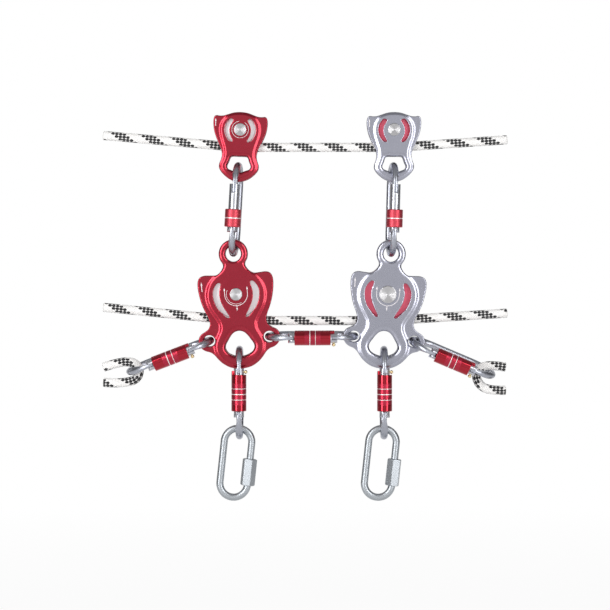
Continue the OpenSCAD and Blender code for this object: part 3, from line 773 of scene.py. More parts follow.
@dataclass(frozen=True)
class Cheek:
    """Form of one side plate, seen from the front with the axle at 0, 0.

    ring is the top ring's height, hole radius and outer radius, and lugs are the side holes'
    distance from the middle, height and radius. Each *_round is the width and depth of a
    rounding. ridge_reach says where the raised face's slope starts and ends, in shares of
    its width from the ridge's outline inwards.
    """

    outline: np.ndarray
    ridge: np.ndarray
    eye: np.ndarray
    slot: np.ndarray
    plate: float
    rise: float
    ridge_width: float
    eye_round: tuple[float, float]
    ring: tuple[float, float, float] | None = None
    lugs: tuple[float, float, float] | None = None
    bore_r: float = 5.05
    edge: float = 1.1
    ridge_reach: tuple[float, float] = (-0.45, 0.55)
    ring_inset: float = 0.4
    ring_round: tuple[float, float] = (4.6, 2.4)
    lug_round: tuple[float, float] = (1.3, 1.0)
    slot_round: tuple[float, float] = (0.7, 0.5)

    def holes(self) -> list[np.ndarray]:
        """Every loop cut through the plate, clockwise.

        Returns:
            The eye, both slots, the axle's bore, and the holes of the ring and the lugs.
        """
        mirrored = self.slot[::-1] * vec(-1, 1)
        loops = [self.eye, self.slot, mirrored, circle((0, 0), self.bore_r, 40)[::-1]]
        if self.ring:
            z, hole, _ = self.ring
            loops.append(circle((0, z), hole, 56)[::-1])
        if self.lugs:
            x, z, r = self.lugs
            loops += [circle((side * x, z), r, 40)[::-1] for side in (-1, 1)]
        return loops

    def height(self, p: np.ndarray) -> np.ndarray:
        """Height of the outer face over the inner one.

        It is the plate, plus the raised face, whose edge is an even slope from outside its
        outline to inside it, less the rounding of the rims round the eye, the ring, the lug
        holes, the slots and the outer edge.

        Args:
            p: places on the face, one row each.

        Returns:
            One height per place.
        """
        raised = inside_distance(p, self.ridge)
        if self.ring:
            z, hole, outer = self.ring
            from_ring = np.linalg.norm(p - vec(0, z), axis=1)
            raised = np.maximum(raised, outer - self.ring_inset - from_ring)
        low, high = (share * self.ridge_width for share in self.ridge_reach)
        h = self.plate + self.rise * ease(raised, low, high)
        h -= rounded_off(-inside_distance(p, self.eye), *self.eye_round)
        if self.ring:
            h -= rounded_off(from_ring - hole, *self.ring_round)
        if self.lugs:
            x, z, r = self.lugs
            for side in (-1, 1):
                from_lug = np.linalg.norm(p - vec(side * x, z), axis=1)
                h -= rounded_off(from_lug - r, *self.lug_round)
        for loop in self.holes()[1:3]:
            h -= rounded_off(-inside_distance(p, loop), *self.slot_round)
        return h - rounded_off(inside_distance(p, self.outline), self.edge, self.edge)

    def edge_rings(self) -> np.ndarray:
        """Points in rings that follow each edge, closer where its rounding is steep.

        Returns:
            All rings' points, one row each.
        """
        steps = np.array([0.05, 0.16, 0.36, 0.66, 1.0])
        across = self.ridge_width * np.linspace(*self.ridge_reach, 7)
        rings = [shift_loop(self.outline, d) for d in self.edge * steps]
        rings += [shift_loop(self.ridge, d) for d in across]
        rings += [shift_loop(self.eye, -d) for d in self.eye_round[0] * steps]
        rings += [shift_loop(loop, -d) for loop in self.holes()[1:3] for d in (0.1, 0.3, 0.7)]
        if self.ring:
            z, hole, outer = self.ring
            rings += [circle((0, z), hole + d, 56) for d in self.ring_round[0] * steps]
            rings += [circle((0, z), outer - self.ring_inset - d, 72) for d in across]
        if self.lugs:
            x, z, r = self.lugs
            rings += [circle((side * x, z), r + d, 40)
                      for side in (-1, 1) for d in (0.15, 0.5, 1.3)]
        return np.concatenate(rings)

    def scatter(self) -> np.ndarray:
        """Points on the face: rings that follow each edge, and an even field between them.

        Returns:
            Points clear of every loop and of each other, one row each.
        """
        low, high = self.outline.min(0), self.outline.max(0)
        xs = np.arange(low[0], high[0], FIELD_MM)
        zs = np.arange(low[1], high[1], FIELD_MM * ROW_SHARE)
        field_x, field_z = np.meshgrid(xs, zs)
        field_x = field_x + (np.arange(len(zs)) % 2)[:, None] * FIELD_MM / 2
        even = np.stack((field_x.ravel(), field_z.ravel()), 1)
        ringed = self.edge_rings()
        near = np.sqrt(((even[:, None] - ringed[None]) ** 2).sum(-1)).min(1)
        points = np.concatenate((ringed, even[near > FIELD_TO_RING_MM]))
        keep = inside_distance(points, self.outline) > TO_LOOP_MM
        for loop in self.holes():
            keep &= inside_distance(points, loop) < -TO_LOOP_MM
        points = points[keep]
        cells = np.round(points / CLOSEST_MM).astype(int)
        return points[np.unique(cells, axis=0, return_index=True)[1]]

    def triangles(self, extra: np.ndarray) -> tuple[np.ndarray, np.ndarray]:
        """Constrained triangles between all loops, through the extra points.

        Args:
            extra: points inside the plate, one row each.

        Returns:
            The points and the corner numbers of each triangle.
        """
        loops = [self.outline] + self.holes()
        starts = np.cumsum([0] + [len(loop) for loop in loops])
        edges = [(starts[k] + i, starts[k] + (i + 1) % len(loop))
                 for k, loop in enumerate(loops) for i in range(len(loop))]
        everything = np.concatenate(loops + [extra])
        made = delaunay_2d_cdt(everything.tolist(), edges, [], 0, 1e-5, False)
        points = np.array([tuple(v) for v in made[0]])
        faces = np.array(made[2])
        middle = points[faces].mean(1)
        keep = inside_distance(middle, self.outline) > 0
        for loop in self.holes():
            keep &= inside_distance(middle, loop) < 0
        return points, faces[keep]

    def shape(self) -> Shape:
        """The whole plate: outer face, inner face, and walls along every loop.

        Returns:
            The shape, with its inner face at depth 0 and its outer face at minus its height.
        """
        shape = Shape()
        points, faces = self.triangles(self.scatter())
        shape.add(at_depth(points, -self.height(points)), faces)
        flat, back = self.triangles(np.zeros((0, 2)))
        shape.add(at_depth(flat, 0), back[:, ::-1])
        for loop in [self.outline] + self.holes():
            top = at_depth(loop, -self.height(loop))
            shape.grid(np.stack((top, top * vec(1, 0, 1))))
        return shape


# Right halves of the outlines from top to bottom, and the right slots, in millimetres.
LARGE_HALF = np.array([
    [14.4, 30.4], [17.8, 26.4], [22.5, 23.8], [29, 23.9], [36.4, 24.3], [41.2, 22.6],
    [43.9, 18.4], [44.6, 12], [43.8, 3], [41.6, -7.5], [38.4, -17], [34.8, -25], [33.2, -32],
    [35.2, -38.2], [39.8, -41.8], [44.6, -44.6], [47.5, -49], [48, -54.6], [45.4, -60.4],
    [40.6, -64.2], [35, -66.2], [30.6, -69.6], [26.4, -75], [20.8, -80.6], [11.8, -85.8],
    [0, -87.6]])
LARGE_RIDGE = np.array([
    [10.6, 42], [11.8, 35], [14.4, 29.6], [19.4, 25], [25.6, 20.6], [30.8, 14], [34, 6],
    [34.8, -2], [33, -11], [28.8, -20], [24, -28], [21.2, -34.4], [21.6, -41], [24.6, -47.6],
    [28, -54.4], [29, -61.6], [27.2, -69.4], [21.6, -77.6], [12, -84.4], [0, -86.4]])
LARGE_EYE = np.array([
    [0, -43.2], [5.4, -44.6], [9.6, -48.4], [13.2, -53.6], [16.4, -58.8], [17, -63.4],
    [14.2, -68.4], [9.72, -71.25], [4.78, -72.9], [0, -73.4]])
LARGE_SLOT = np.array([
    [17.4, 12.5], [19.7, 3], [18.9, -6.4], [15.4, -15.2], [9.9, -25], [10.3, -27.2],
    [13.3, -26.5], [18, -21.3], [23, -15.2], [26.2, -7.3], [27.4, 0.5], [26.2, 7.5],
    [22, 13.6], [19, 14.6]])
SMALL_HALF = np.array([
    [0, 20.7], [8, 19.9], [14.8, 17.7], [20, 16], [24.6, 15.6], [28.6, 16], [31, 14.2],
    [31.9, 9.6], [31.6, 3.6], [30.4, -3], [27.8, -10.4], [24.4, -17.6], [21.4, -24.4],
    [20.3, -30.4], [21.3, -36], [23.2, -41.4], [22.6, -47], [18, -53], [10.4, -58.6],
    [0, -61.4]])
SMALL_RIDGE = np.array([
    [0, 18.9], [9, 17.9], [16.6, 14.6], [21.6, 8.4], [23.4, 0.6], [22.4, -7.6],
    [19.9, -15.6], [17.7, -23.4], [17.1, -30.4], [18.6, -36.6], [20.9, -42.2],
    [20.2, -46.6], [15.8, -52.4], [9, -57], [0, -59.4]])
SMALL_WINDOW = np.array([
    [0, -31.5], [7.6, -31.6], [10.2, -33], [12, -38], [13.9, -43], [12.4, -46.4],
    [7.73, -48.36], [3.88, -49.99], [0, -50.5]])
SMALL_SLOT = np.array([
    [8.4, 10.2], [11.6, 4.6], [12.7, -1], [11.6, -7], [8.6, -12.6], [9.6, -14.6],
    [13.4, -13], [17, -7.6], [18.7, -0.6], [17, 6.8], [12.8, 12.4], [9.4, 12.2]])


def large_cheek() -> Cheek:
    """The large pulley's plate, with its top ring worked into the outline.

    Returns:
        The plate's form.
    """
    ring_z, hole_r, ring_r = 47.6, 9.2, 17.0
    arc = vec(0, ring_z) + ring_r * directions(np.radians(np.arange(90, -45, -9)))
    neck = np.array([[12.9, 34.2]])
    outline = both_sides(np.concatenate((arc, neck, LARGE_HALF)))
    return Cheek(
        outline=smooth_loop(outline, 4), ridge=smooth_loop(both_sides(LARGE_RIDGE), 4),
        eye=smooth_loop(both_sides(LARGE_EYE), 5), slot=smooth_loop(LARGE_SLOT, 4)[::-1],
        plate=4.0, rise=2.0, ridge_width=5.7, eye_round=(6.4, 3.2),
        ring=(ring_z, hole_r, ring_r), lugs=(35.4, -52.6, 6.85))


def small_cheek() -> Cheek:
    """The small pulley's plate.

    Returns:
        The plate's form.
    """
    return Cheek(
        outline=smooth_loop(both_sides(SMALL_HALF), 5),
        ridge=smooth_loop(both_sides(SMALL_RIDGE), 5),
        eye=smooth_loop(both_sides(SMALL_WINDOW), 6), slot=smooth_loop(SMALL_SLOT, 4)[::-1],
        plate=3.6, rise=1.6, ridge_width=4.8, eye_round=(4.6, 2.6))


@dataclass(frozen=True)
class Stroke:
    """One stroke of ink: its width at both ends, its face's height, and its points."""

    width: tuple[float, float]
    level: float
    points: list

    def ribbon(self) -> np.ndarray:
        """The stroke as a thin bar, half a width to each side of its line.

        Returns:
            Rows by 4 by 3: the corners of its section at each point of the line.
        """
        path = resample(np.array(self.points, float), 0.8)
        along = unit(np.gradient(path, axis=0))
        aside = np.stack((along[:, 1], -along[:, 0]), 1)
        half = np.linspace(*self.width, len(path))[:, None] / 2
        left, right = path - half * aside, path + half * aside
        top, low = -(self.level + 0.05), -(self.level - 0.15)
        corners = ((left, top), (right, top), (right, low), (left, low))
        return np.stack([at_depth(line, y) for line, y in corners], 1)


@dataclass(frozen=True)
class Pulley:
    """One pulley: two cheeks, a wheel on its bearing sleeve, and a riveted axle."""

    name: str
    lean: float
    cheek_finish: Finish
    cheek_slot: str
    wheel_finish: Finish
    wheel_slot: str
    root_r: float
    flange_r: float
    head_r: float
    head_dish: float
    marks: list[Stroke]
    wheel_w: float = 15.0
    groove_r: float = 5.9
    axle_r: float = 5.0
    bush_r: float = 7.6
    side_gap: float = 0.5
    head_h: float = 2.6
    play: float = 0.05

    @property
    def inner_y(self) -> float:
        """Distance of the cheeks' inner faces from the middle."""
        return self.wheel_w / 2 + self.side_gap

    def centre(self) -> np.ndarray:
        """The axle's middle, in millimetres."""
        return joint_at(self.name + "_spin")

    def face(self, side: int) -> Place:
        """The inner face of one cheek, with local Y into the wheel.

        Args:
            side: 1 for the front cheek, -1 for the back one.

        Returns:
            Where the cheek's local points go.
        """
        c, s = math.cos(math.radians(self.lean)), math.sin(math.radians(self.lean))
        axes = np.array([[c, 0, -s], [0, side, 0], [s, 0, c]])
        return Place(self.centre() + vec(0, -side * self.inner_y, 0), axes)

    def upright(self) -> Place:
        """The axle's frame: local Z along the axle, local X to the right."""
        return Place(self.centre(), np.array([[1, 0, 0], [0, 0, -1], [0, 1, 0]], float))

    def turn(self, word: str, profile: np.ndarray, segments: int, kind: Finish,
             closed: bool = False) -> bpy.types.Object:
        """Turns a profile round the axle.

        Args:
            word: the sub-part's name.
            profile: radius and height of each ring.
            segments: points round the axle.
            kind: its finish.
            closed: whether fans close both ends.

        Returns:
            The new piece.
        """
        shape = Shape()
        shape.grid(lathe(profile, segments), first=closed, last=closed)
        name = f"{self.name}_{word}_turned"
        return shape.build(name, self.upright(), [finish(kind)], True)

    def dress_cheeks(self, form: Cheek) -> None:
        """Builds both plates and what is printed on them.

        Args:
            form: the form of both plates.
        """
        shape = form.shape()
        for side, word in ((1, "front"), (-1, "back")):
            node = f"{self.name}_{word}_cheek"
            piece = shape.build(node + "_plate", self.face(side), [finish(self.cheek_finish)], True)
            settle(piece, "carriage", self.cheek_slot, node)
            print_shape = Shape()
            for stroke in self.marks:
                print_shape.grid(stroke.ribbon(), first=True, last=True)
            piece = print_shape.build(f"{self.name}_{word}_print", self.face(side),
                                      [finish(Finish.PRINT)], True)
            settle(piece, "carriage", self.cheek_slot)

    def dress_wheel(self) -> None:
        """Builds the grooved wheel.

        One flank runs from the bore over the hub's ring, the sunken web and the rim to the
        lip; then comes the groove, an arc of the rope's radius and a little more; the other
        flank is the first one mirrored.
        """
        half, bore, rim = self.wheel_w / 2, self.bush_r + self.play, self.flange_r
        reach = half - 0.8
        a = np.radians(np.linspace(-78, 78, 27))
        groove = np.stack((self.root_r + self.groove_r * (1 - np.cos(a)),
                           self.groove_r * np.sin(a)), 1)
        flank = np.array([
            [bore, 0.4 - half], [bore + 0.4, -half], [bore + 1.4, -half], [bore + 1.8, 0.4 - half],
            [rim - 3.6, 1.0 - half], [rim - 3.1, 0.2 - half], [rim - 2.9, -half],
            [rim - 0.7, -half], [rim - 0.15, 0.25 - half], [rim, 0.6 - half],
            [rim - 0.12, 0.1 - reach]])
        wall = np.linspace((rim - 1.0, 0.2 - reach), groove[0] + vec(0.4, -0.1), 4)
        low = np.concatenate((flank, wall))
        profile = np.concatenate((low, groove, low[::-1] * vec(1, -1), low[:1]))
        piece = self.turn("sheave", profile, 144, self.wheel_finish)
        settle(piece, self.name + "_wheel", self.wheel_slot, self.name + "_sheave")

    def dress_bush(self) -> None:
        """Builds the bearing sleeve, with its outer corners cut off."""
        bore, r, cut = self.axle_r + self.play, self.bush_r, 0.3
        end = self.inner_y - 0.1
        profile = np.array([[bore, -end], [r - cut, -end], [r, cut - end], [r, end - cut],
                            [r - cut, end], [bore, end], [bore, -end]])
        piece = self.turn("bush", profile, 72, Finish.BRONZE)
        settle(piece, self.name + "_wheel", "bush_brass", self.name + "_bush")

    def dress_axle(self, plate_y: float) -> None:
        """Builds the axle: a shaft with a turned head on each end.

        A head's face is a cone that sinks towards the middle, with a low ripple: a cosine of
        the radius.

        Args:
            plate_y: distance of the outer faces from the middle.
        """
        base = plate_y + self.play
        r, h = self.head_r, self.head_h
        rings = np.linspace(0.94, 0.08, 12)
        ripple = 0.07 * np.cos(rings * 34)
        dish = self.head_dish * (1 - rings / rings[0])
        head = np.concatenate((
            [[self.axle_r, base], [r - 0.3, base], [r, base + 0.3], [r, base + 0.55 * h],
             [r - 0.25, base + 0.8 * h], [r - 0.8, base + h - 0.12]],
            np.stack((rings * (r - 0.8), base + h - 0.12 - dish + ripple - 0.07), 1)))
        profile = np.concatenate((head[::-1] * vec(1, -1), head))
        piece = self.turn("axle", profile, 96, Finish.TURNED_STEEL, closed=True)
        settle(piece, "carriage", "axle_steel", self.name + "_axle")

    def dress(self, form: Cheek) -> None:
        """Builds the whole pulley.

        Args:
            form: the form of its cheeks.
        """
        self.dress_cheeks(form)
        self.dress_wheel()
        self.dress_bush()
        self.dress_axle(self.inner_y + form.plate + form.rise)


def arc_line(radius: float, start: float, end: float) -> list:
    """Points of an arc round the axle, in degrees."""
    return (radius * directions(np.radians(np.linspace(start, end, 40)))).tolist()


def arrow(level: float, start: tuple[float, float], neck: tuple[float, float],
          tip: tuple[float, float], width: float, head: float) -> list[Stroke]:
    """A line of ink and the head at its end, which overlap a little.

    Args:
        level: height of the face that it is printed on.
        start: where the line starts.
        neck: where the line ends.
        tip: where the head ends.
        width: the line's width.
        head: the head's width at its back.

    Returns:
        Both strokes.
    """
    back = (neck[0], neck[1] + math.copysign(0.2, neck[1] - tip[1]))
    return [Stroke((width, width), level, [start, neck]),
            Stroke((head, 0.1), level, [back, tip])]


def large_marks(inner_arc: bool) -> list[Stroke]:
    """Ink on a large cheek: a turning arc with heads, a stem arrow, and an ear arrow.

    Args:
        inner_arc: whether a thin arc follows the turning one inside.

    Returns:
        The strokes.
    """
    face, ear, r = 6.0, 4.0, 13.4
    turning = [[-r, 5.4], [-r, 0]] + arc_line(r, 181, 359) + [[r, 0], [r, 5.4]]
    return [
        Stroke((0.55, 0.55), face, turning),
        *([Stroke((0.35, 0.35), face, arc_line(11.4, 150, 300))] if inner_arc else []),
        *(Stroke((1.9, 0.1), face, [[x, 5.2], [x, 8.4]]) for x in (-r, r)),
        *arrow(face, (0, -13.6), (0, -16.4), (0, -19.2), 0.55, 1.9),
        *arrow(ear, (-39.6, 5.6), (-39.8, 13.2), (-39.9, 16.6), 0.8, 2.0)]


def small_marks(ring: bool) -> list[Stroke]:
    """Ink on a small cheek: an ear arrow, and a thin ring round the axle if it has one.

    Args:
        ring: whether the ring is there.

    Returns:
        The strokes.
    """
    face, ear = 5.2, 3.6
    return [*([Stroke((0.4, 0.4), face, arc_line(9.8, 100, 420))] if ring else []),
            *arrow(ear, (-28.9, 3.4), (-29.1, 9.4), (-29.2, 12.2), 0.7, 1.7)]


# ---------------------------------------------------------------- carabiners

@dataclass(frozen=True)
class LockForm:
    """What one kind of lock gives its carabiner, in millimetres over the oval's middle.

    bow_c is the upper bow's centre, and nose_gap the nose's height over the sleeve's upper
    end. The sleeve has its own outer radius, rounded ends and finishes, and its joint's name.
    """

    bow_c: float
    hinge_u: float
    latch_u: float
    gate_top: float
    sleeve_low: float
    nose_gap: float
    sleeve_r: float
    sleeve_round: float
    ends: Finish
    grip: Finish
    joint: str


class Lock(Enum):
    """The two kinds of gate lock."""

    SCREW = LockForm(26.0, -21.5, 25.0, 29.5, -21.0, 19.4, 9.5, 1.1,
                     Finish.SLEEVE_DIAMOND, Finish.SLEEVE_DIAMOND, "_sleeve_travel")
    TWIST = LockForm(25.25, -22.2, 25.6, 29.8, -20.2, 1.05, 8.8, 0.7,
                     Finish.SLEEVE, Finish.SLEEVE_KNURL, "_sleeve_twist")


@dataclass(frozen=True)
class Carabiner:
    """An oval carabiner, upright, with its gate towards the viewer and its nose on top."""

    name: str
    lock: Lock
    frame_body: str
    sleeve_l: float
    rings: int = 2
    rings_up: float = 0.0
    bow_r: float = 25.8
    bar_r: float = 4.2
    gate_r: float = 6.0
    bore_r: float = 6.05
    blade: float = 2.0
    taper: float = 17.0
    blend: float = 2.0
    hinge_r: float = 1.5
    latch_r: float = 1.3
    dome: float = 0.35

    @property
    def form(self) -> LockForm:
        """What its lock gives it."""
        return self.lock.value

    @property
    def nose_u(self) -> float:
        """Height of the nose's lower end."""
        return self.form.sleeve_low + self.sleeve_l + self.form.nose_gap

    @property
    def tongue_r(self) -> float:
        """Radius of the hinge tongue's rounded end."""
        return self.bar_r - 0.2

    def place(self) -> Place:
        """Where it hangs, from its gate's hinge and its sleeve's axis.

        Returns:
            The middle of its oval, with local Z upwards and local -Y towards its gate.
        """
        x = -joint_axis(self.name + "_gate_hinge")
        z = joint_axis(self.name + self.form.joint)
        axes = np.stack((x, np.cross(z, x), z), 1)
        at = joint_at(self.name + "_gate_hinge")
        return Place(at - axes @ vec(0, -self.bow_r, self.form.hinge_u), axes)

    def rod(self, end: int) -> np.ndarray:
        """Centre of the bar at the top (1) or bottom (-1) of the oval, in millimetres."""
        return self.place().put(vec(0, 0, end * (self.form.bow_c + self.bow_r)))

    def bar_path(self) -> np.ndarray:
        """Centre line from the nose over both bows to the hinge.

        Returns:
            Local Y and Z of its points, one row each.
        """
        c, r = self.form.bow_c, self.bow_r
        bow = r * directions(np.linspace(math.pi, 0, 72))
        path = join(np.stack((np.full(2, -r), vec(self.nose_u, c)), 1),
                    vec(0, c) + bow,
                    vec(0, -c) + bow[::-1] * vec(1, -1),
                    np.stack((np.full(2, -r), vec(-c, self.form.hinge_u + self.tongue_r)), 1))
        return resample(path, 0.7)

    def dress_frame(self) -> None:
        """Builds the bar: round, flattened to a blade at the nose and at the hinge tongue.

        The section is a circle clipped to a half width that eases from blade to bar. Its
        radius follows a quarter circle at the tongue's end, and shrinks by an eighth over the
        last bit of the nose.
        """
        path = self.bar_path()
        run = run_along(path)
        to_end = run[-1] - run
        nose_end = self.form.gate_top + 0.8 - self.nose_u
        tongue_start = run[-1] - self.tongue_r - self.gate_r
        widen = (ease(run, nose_end - self.blend, nose_end + self.taper)
                 * (1 - ease(run, tongue_start - self.taper, tongue_start + self.blend)))
        half = self.blade + (self.bar_r - self.blade) * widen
        quarter = np.sqrt(np.clip(1 - (1 - to_end / self.tongue_r) ** 2, 0.004, 1))
        tongue = np.where(to_end < self.tongue_r, quarter, 1)
        nose = 1 - 0.12 * (1 - np.clip(run / 0.6, 0, 1))
        ring = directions(around(40))
        deep = (self.bar_r * tongue * nose)[:, None] * ring[:, 0]
        wide = np.clip(self.bar_r * ring[:, 1][None], -half[:, None], half[:, None])
        shape = Shape()
        shape.grid(swept(np.insert(path, 0, 0, axis=1), vec(1, 0, 0), np.stack((deep, wide), -1)),
                   first=True, last=True, rows=run / 10)
        piece = shape.build(self.name + "_frame_bar", self.place(), [finish(Finish.POLISHED_STEEL)])
        settle(piece, self.frame_body, "carabiner_steel", self.name + "_frame")

    def dress_gate(self) -> None:
        """Builds the gate from its CAD solid, with the true normals of its two cylinders.

        A corner of a face takes the direction straight out from the tube's or the
        knuckle's axis where it lies on that cylinder, and else its face's normal.
        """
        piece = from_node(self.name + "_gate", finish(Finish.GATE_STEEL), self.name + "_gate",
                          "carabiner_steel")
        mesh, place = piece.data, self.place()
        points = np.empty(len(mesh.vertices) * 3)
        mesh.vertices.foreach_get("co", points)
        normals = np.empty(len(mesh.polygons) * 3)
        mesh.polygons.foreach_get("normal", normals)
        corner = np.empty(len(mesh.loops), np.int32)
        mesh.loops.foreach_get("vertex_index", corner)
        sides = np.empty(len(mesh.polygons), np.int32)
        mesh.polygons.foreach_get("loop_total", sides)
        local = (points.reshape(-1, 3) / MM - place.origin) @ place.axes
        at = (local + vec(0, self.bow_r, 0))[corner]
        chosen = np.repeat(normals.reshape(-1, 3) @ place.axes, sides, axis=0)
        off_surface, same_way = 0.08, 0.97
        for out in (at * vec(1, 1, 0), (at - vec(0, 0, self.form.hinge_u)) * vec(0, 1, 1)):
            far = np.linalg.norm(out, axis=1)
            ray = out / np.maximum(far, 1e-6)[:, None]
            on_it = np.abs(far - self.gate_r) < off_surface
            on_it &= (ray * chosen).sum(1) > same_way
            chosen = np.where(on_it[:, None], ray, chosen)
        mesh.normals_split_custom_set((chosen @ place.axes.T).tolist())

    def lay(self, shape: Shape, height: float, profile: np.ndarray, segments: int,
            mark: int) -> None:
        """Turns a profile round an axis that lies across the gate, along local X.

        Args:
            shape: where it is added.
            height: the axis's height over the oval's middle.
            profile: radius and distance along the axis of each ring.
            segments: points round the axis.
            mark: material slot of its faces.
        """
        across = Place(vec(0, -self.bow_r, height),
                       np.array([[0, 0, 1], [0, 1, 0], [-1, 0, 0]], float))
        shape.grid(across.put(lathe(profile, segments)), first=True, last=True,
                   marks=np.full(len(profile) - 1, mark))

    def pin(self, r: float, low: float, high: float) -> np.ndarray:
        """Profile of a pin with domed ends, each a quarter of an ellipse.

        Args:
            r: the pin's radius.
            low: where it starts along its axis.
            high: where it ends.

        Returns:
            Radius and distance along the axis of each ring.
        """
        t = np.linspace(0.08, 1, 5) * math.pi / 2
        end = np.stack((r * np.sin(t), -self.dome * np.cos(t)), 1)
        return np.concatenate((end + vec(0, low + self.dome),
                               end[::-1] * vec(1, -1) + vec(0, high - self.dome)))

    def dress_pins(self) -> None:
        """Builds the hinge pin and the latch pin, with domed ends and a brass head."""
        reach, latch_u = self.gate_r - 0.4, self.form.latch_u
        shape = Shape()
        self.lay(shape, self.form.hinge_u, self.pin(self.hinge_r, -reach, reach), 32, 0)
        self.lay(shape, latch_u, self.pin(self.latch_r, -reach, reach), 32, 1)
        slot = "pin_steel"
        if self.lock is Lock.TWIST:
            stem = self.pin(self.latch_r, reach - 0.3, self.gate_r + 0.9)
            self.lay(shape, latch_u, stem, 32, 1)
            t = np.radians(np.linspace(4, 176, 20))
            ball = np.stack((2.2 * np.sin(t), 8.1 - 1.95 * np.cos(t)), 1)
            self.lay(shape, latch_u, ball, 36, 1)
            slot = "latch_brass"
        piece = shape.build(self.name + "_pins_turned", self.place(),
                            [finish(Finish.GATE_STEEL), finish(Finish.BRASS)])
        settle(piece, self.name + "_gate", slot, self.name + "_pins")

    def dress_sleeve(self) -> None:
        """Builds the sleeve of either lock."""
        shape = self.screw_sleeve() if self.lock is Lock.SCREW else self.twist_sleeve()
        finishes = [finish(k) for k in (self.form.ends, self.form.grip, Finish.SLEEVE_RING)]
        place = self.place().moved(vec(0, -self.bow_r, 0))
        piece = shape.build(self.name + "_sleeve_turned", place, finishes)
        settle(piece, self.name + "_lock", "sleeve_red", self.name + "_sleeve")

    def screw_sleeve(self) -> Shape:
        """A short sleeve with rounded ends, fluted grip bands and a bare ring in the middle.

        The radius is the outer one, less the rounding and the ring's groove, less a flute's
        depth times half of one minus the cosine of 36 angles round, within the grip bands.

        Returns:
            The sleeve round the local Z axis.
        """
        heights, drawn = rounded_ends(self.sleeve_l, self.form.sleeve_round, 0.35)
        from_middle = np.abs(heights - self.sleeve_l / 2)
        grooved = from_middle < 0.8
        grip = (from_middle > 1.6) & (from_middle < 7.2)
        angles = around(144)
        flute = 0.08 * (0.5 - 0.5 * np.cos(angles * 36))
        radius = self.form.sleeve_r - drawn - np.where(grooved, 0.4, 0)
        radius = radius[:, None] - grip[:, None] * flute[None]
        return self.tube_wall(radius, np.repeat(heights[:, None], len(angles), 1), grooved, grip)

    def twist_sleeve(self) -> Shape:
        """A long sleeve with polished ends, a ribbed band with bare rings, and a thumb tab.

        The band's radius falls by a rib's depth times half of one minus the cosine of the
        height. The wall's top rises by the tab's height where the angle is within the tab.

        Returns:
            The sleeve round the local Z axis.
        """
        ring_pitch, rib_pitch, rib, band_end = 6.4, 0.9, 0.1, 6.2
        tab_h, tab_root, tab_middle = 4.5, 4.0, 180
        heights, drawn = rounded_ends(self.sleeve_l, self.form.sleeve_round, 0.3)
        centre = self.sleeve_l / 2 + self.rings_up
        offsets = (np.arange(self.rings) - (self.rings - 1) / 2) * ring_pitch + centre
        grooved = np.abs(heights[:, None] - offsets[None]).min(1) < 0.5
        band = np.abs(heights - centre) < (self.rings - 1) * ring_pitch / 2 + band_end
        ribs = rib * (0.5 - 0.5 * np.cos(heights * 2 * math.pi / rib_pitch))
        radius = (self.form.sleeve_r - drawn - np.where(grooved, 0.35, 0)
                  - np.where(band & ~grooved, ribs, 0))
        angles = around(192)
        lift = tab_h * (1 - ease(np.abs(np.degrees(angles) - tab_middle), 25.0, 29.5))
        share = np.clip((heights - (self.sleeve_l - tab_root)) / tab_root, 0, 1)
        height = heights[:, None] + share[:, None] * lift[None]
        return self.tube_wall(np.repeat(radius[:, None], len(angles), 1), height, grooved, band)

    def tube_wall(self, radius: np.ndarray, height: np.ndarray, grooved: np.ndarray,
                  grip: np.ndarray) -> Shape:
        """A closed tube from its outer wall, with a plain bore.

        Args:
            radius: outer radius by row and column.
            height: height above the sleeve's lower end by row and column.
            grooved: whether each row lies in a ring's groove, which is slot 2.
            grip: whether each row lies in the grip, which is slot 1. The rest is slot 0.

        Returns:
            The tube round the local Z axis.
        """
        marks = np.where(grooved[:-1] & grooved[1:], 2, np.where(grip[:-1] & grip[1:], 1, 0))
        rows, columns = radius.shape
        ends = np.stack((height[-1], height[0]))
        radii = np.concatenate((radius, np.full((2, columns), self.bore_r)))
        levels = np.concatenate((height, ends)) + self.form.sleeve_low
        flat = radii[..., None] * directions(around(columns))
        shape = Shape()
        shape.grid(np.concatenate((flat, levels[..., None]), -1),
                   marks=np.concatenate((marks, [0, 0])))
        last, first = np.arange(columns) + (rows + 1) * columns, np.arange(columns)
        shape.faces(np.stack((last, np.roll(last, -1), np.roll(first, -1), first), 1))
        return shape

    def dress(self) -> None:
        """Builds the frame, the gate, the pins and the sleeve."""
        self.dress_frame()
        self.dress_gate()
        self.dress_pins()
        self.dress_sleeve()


# ---------------------------------------------------------------- quick links

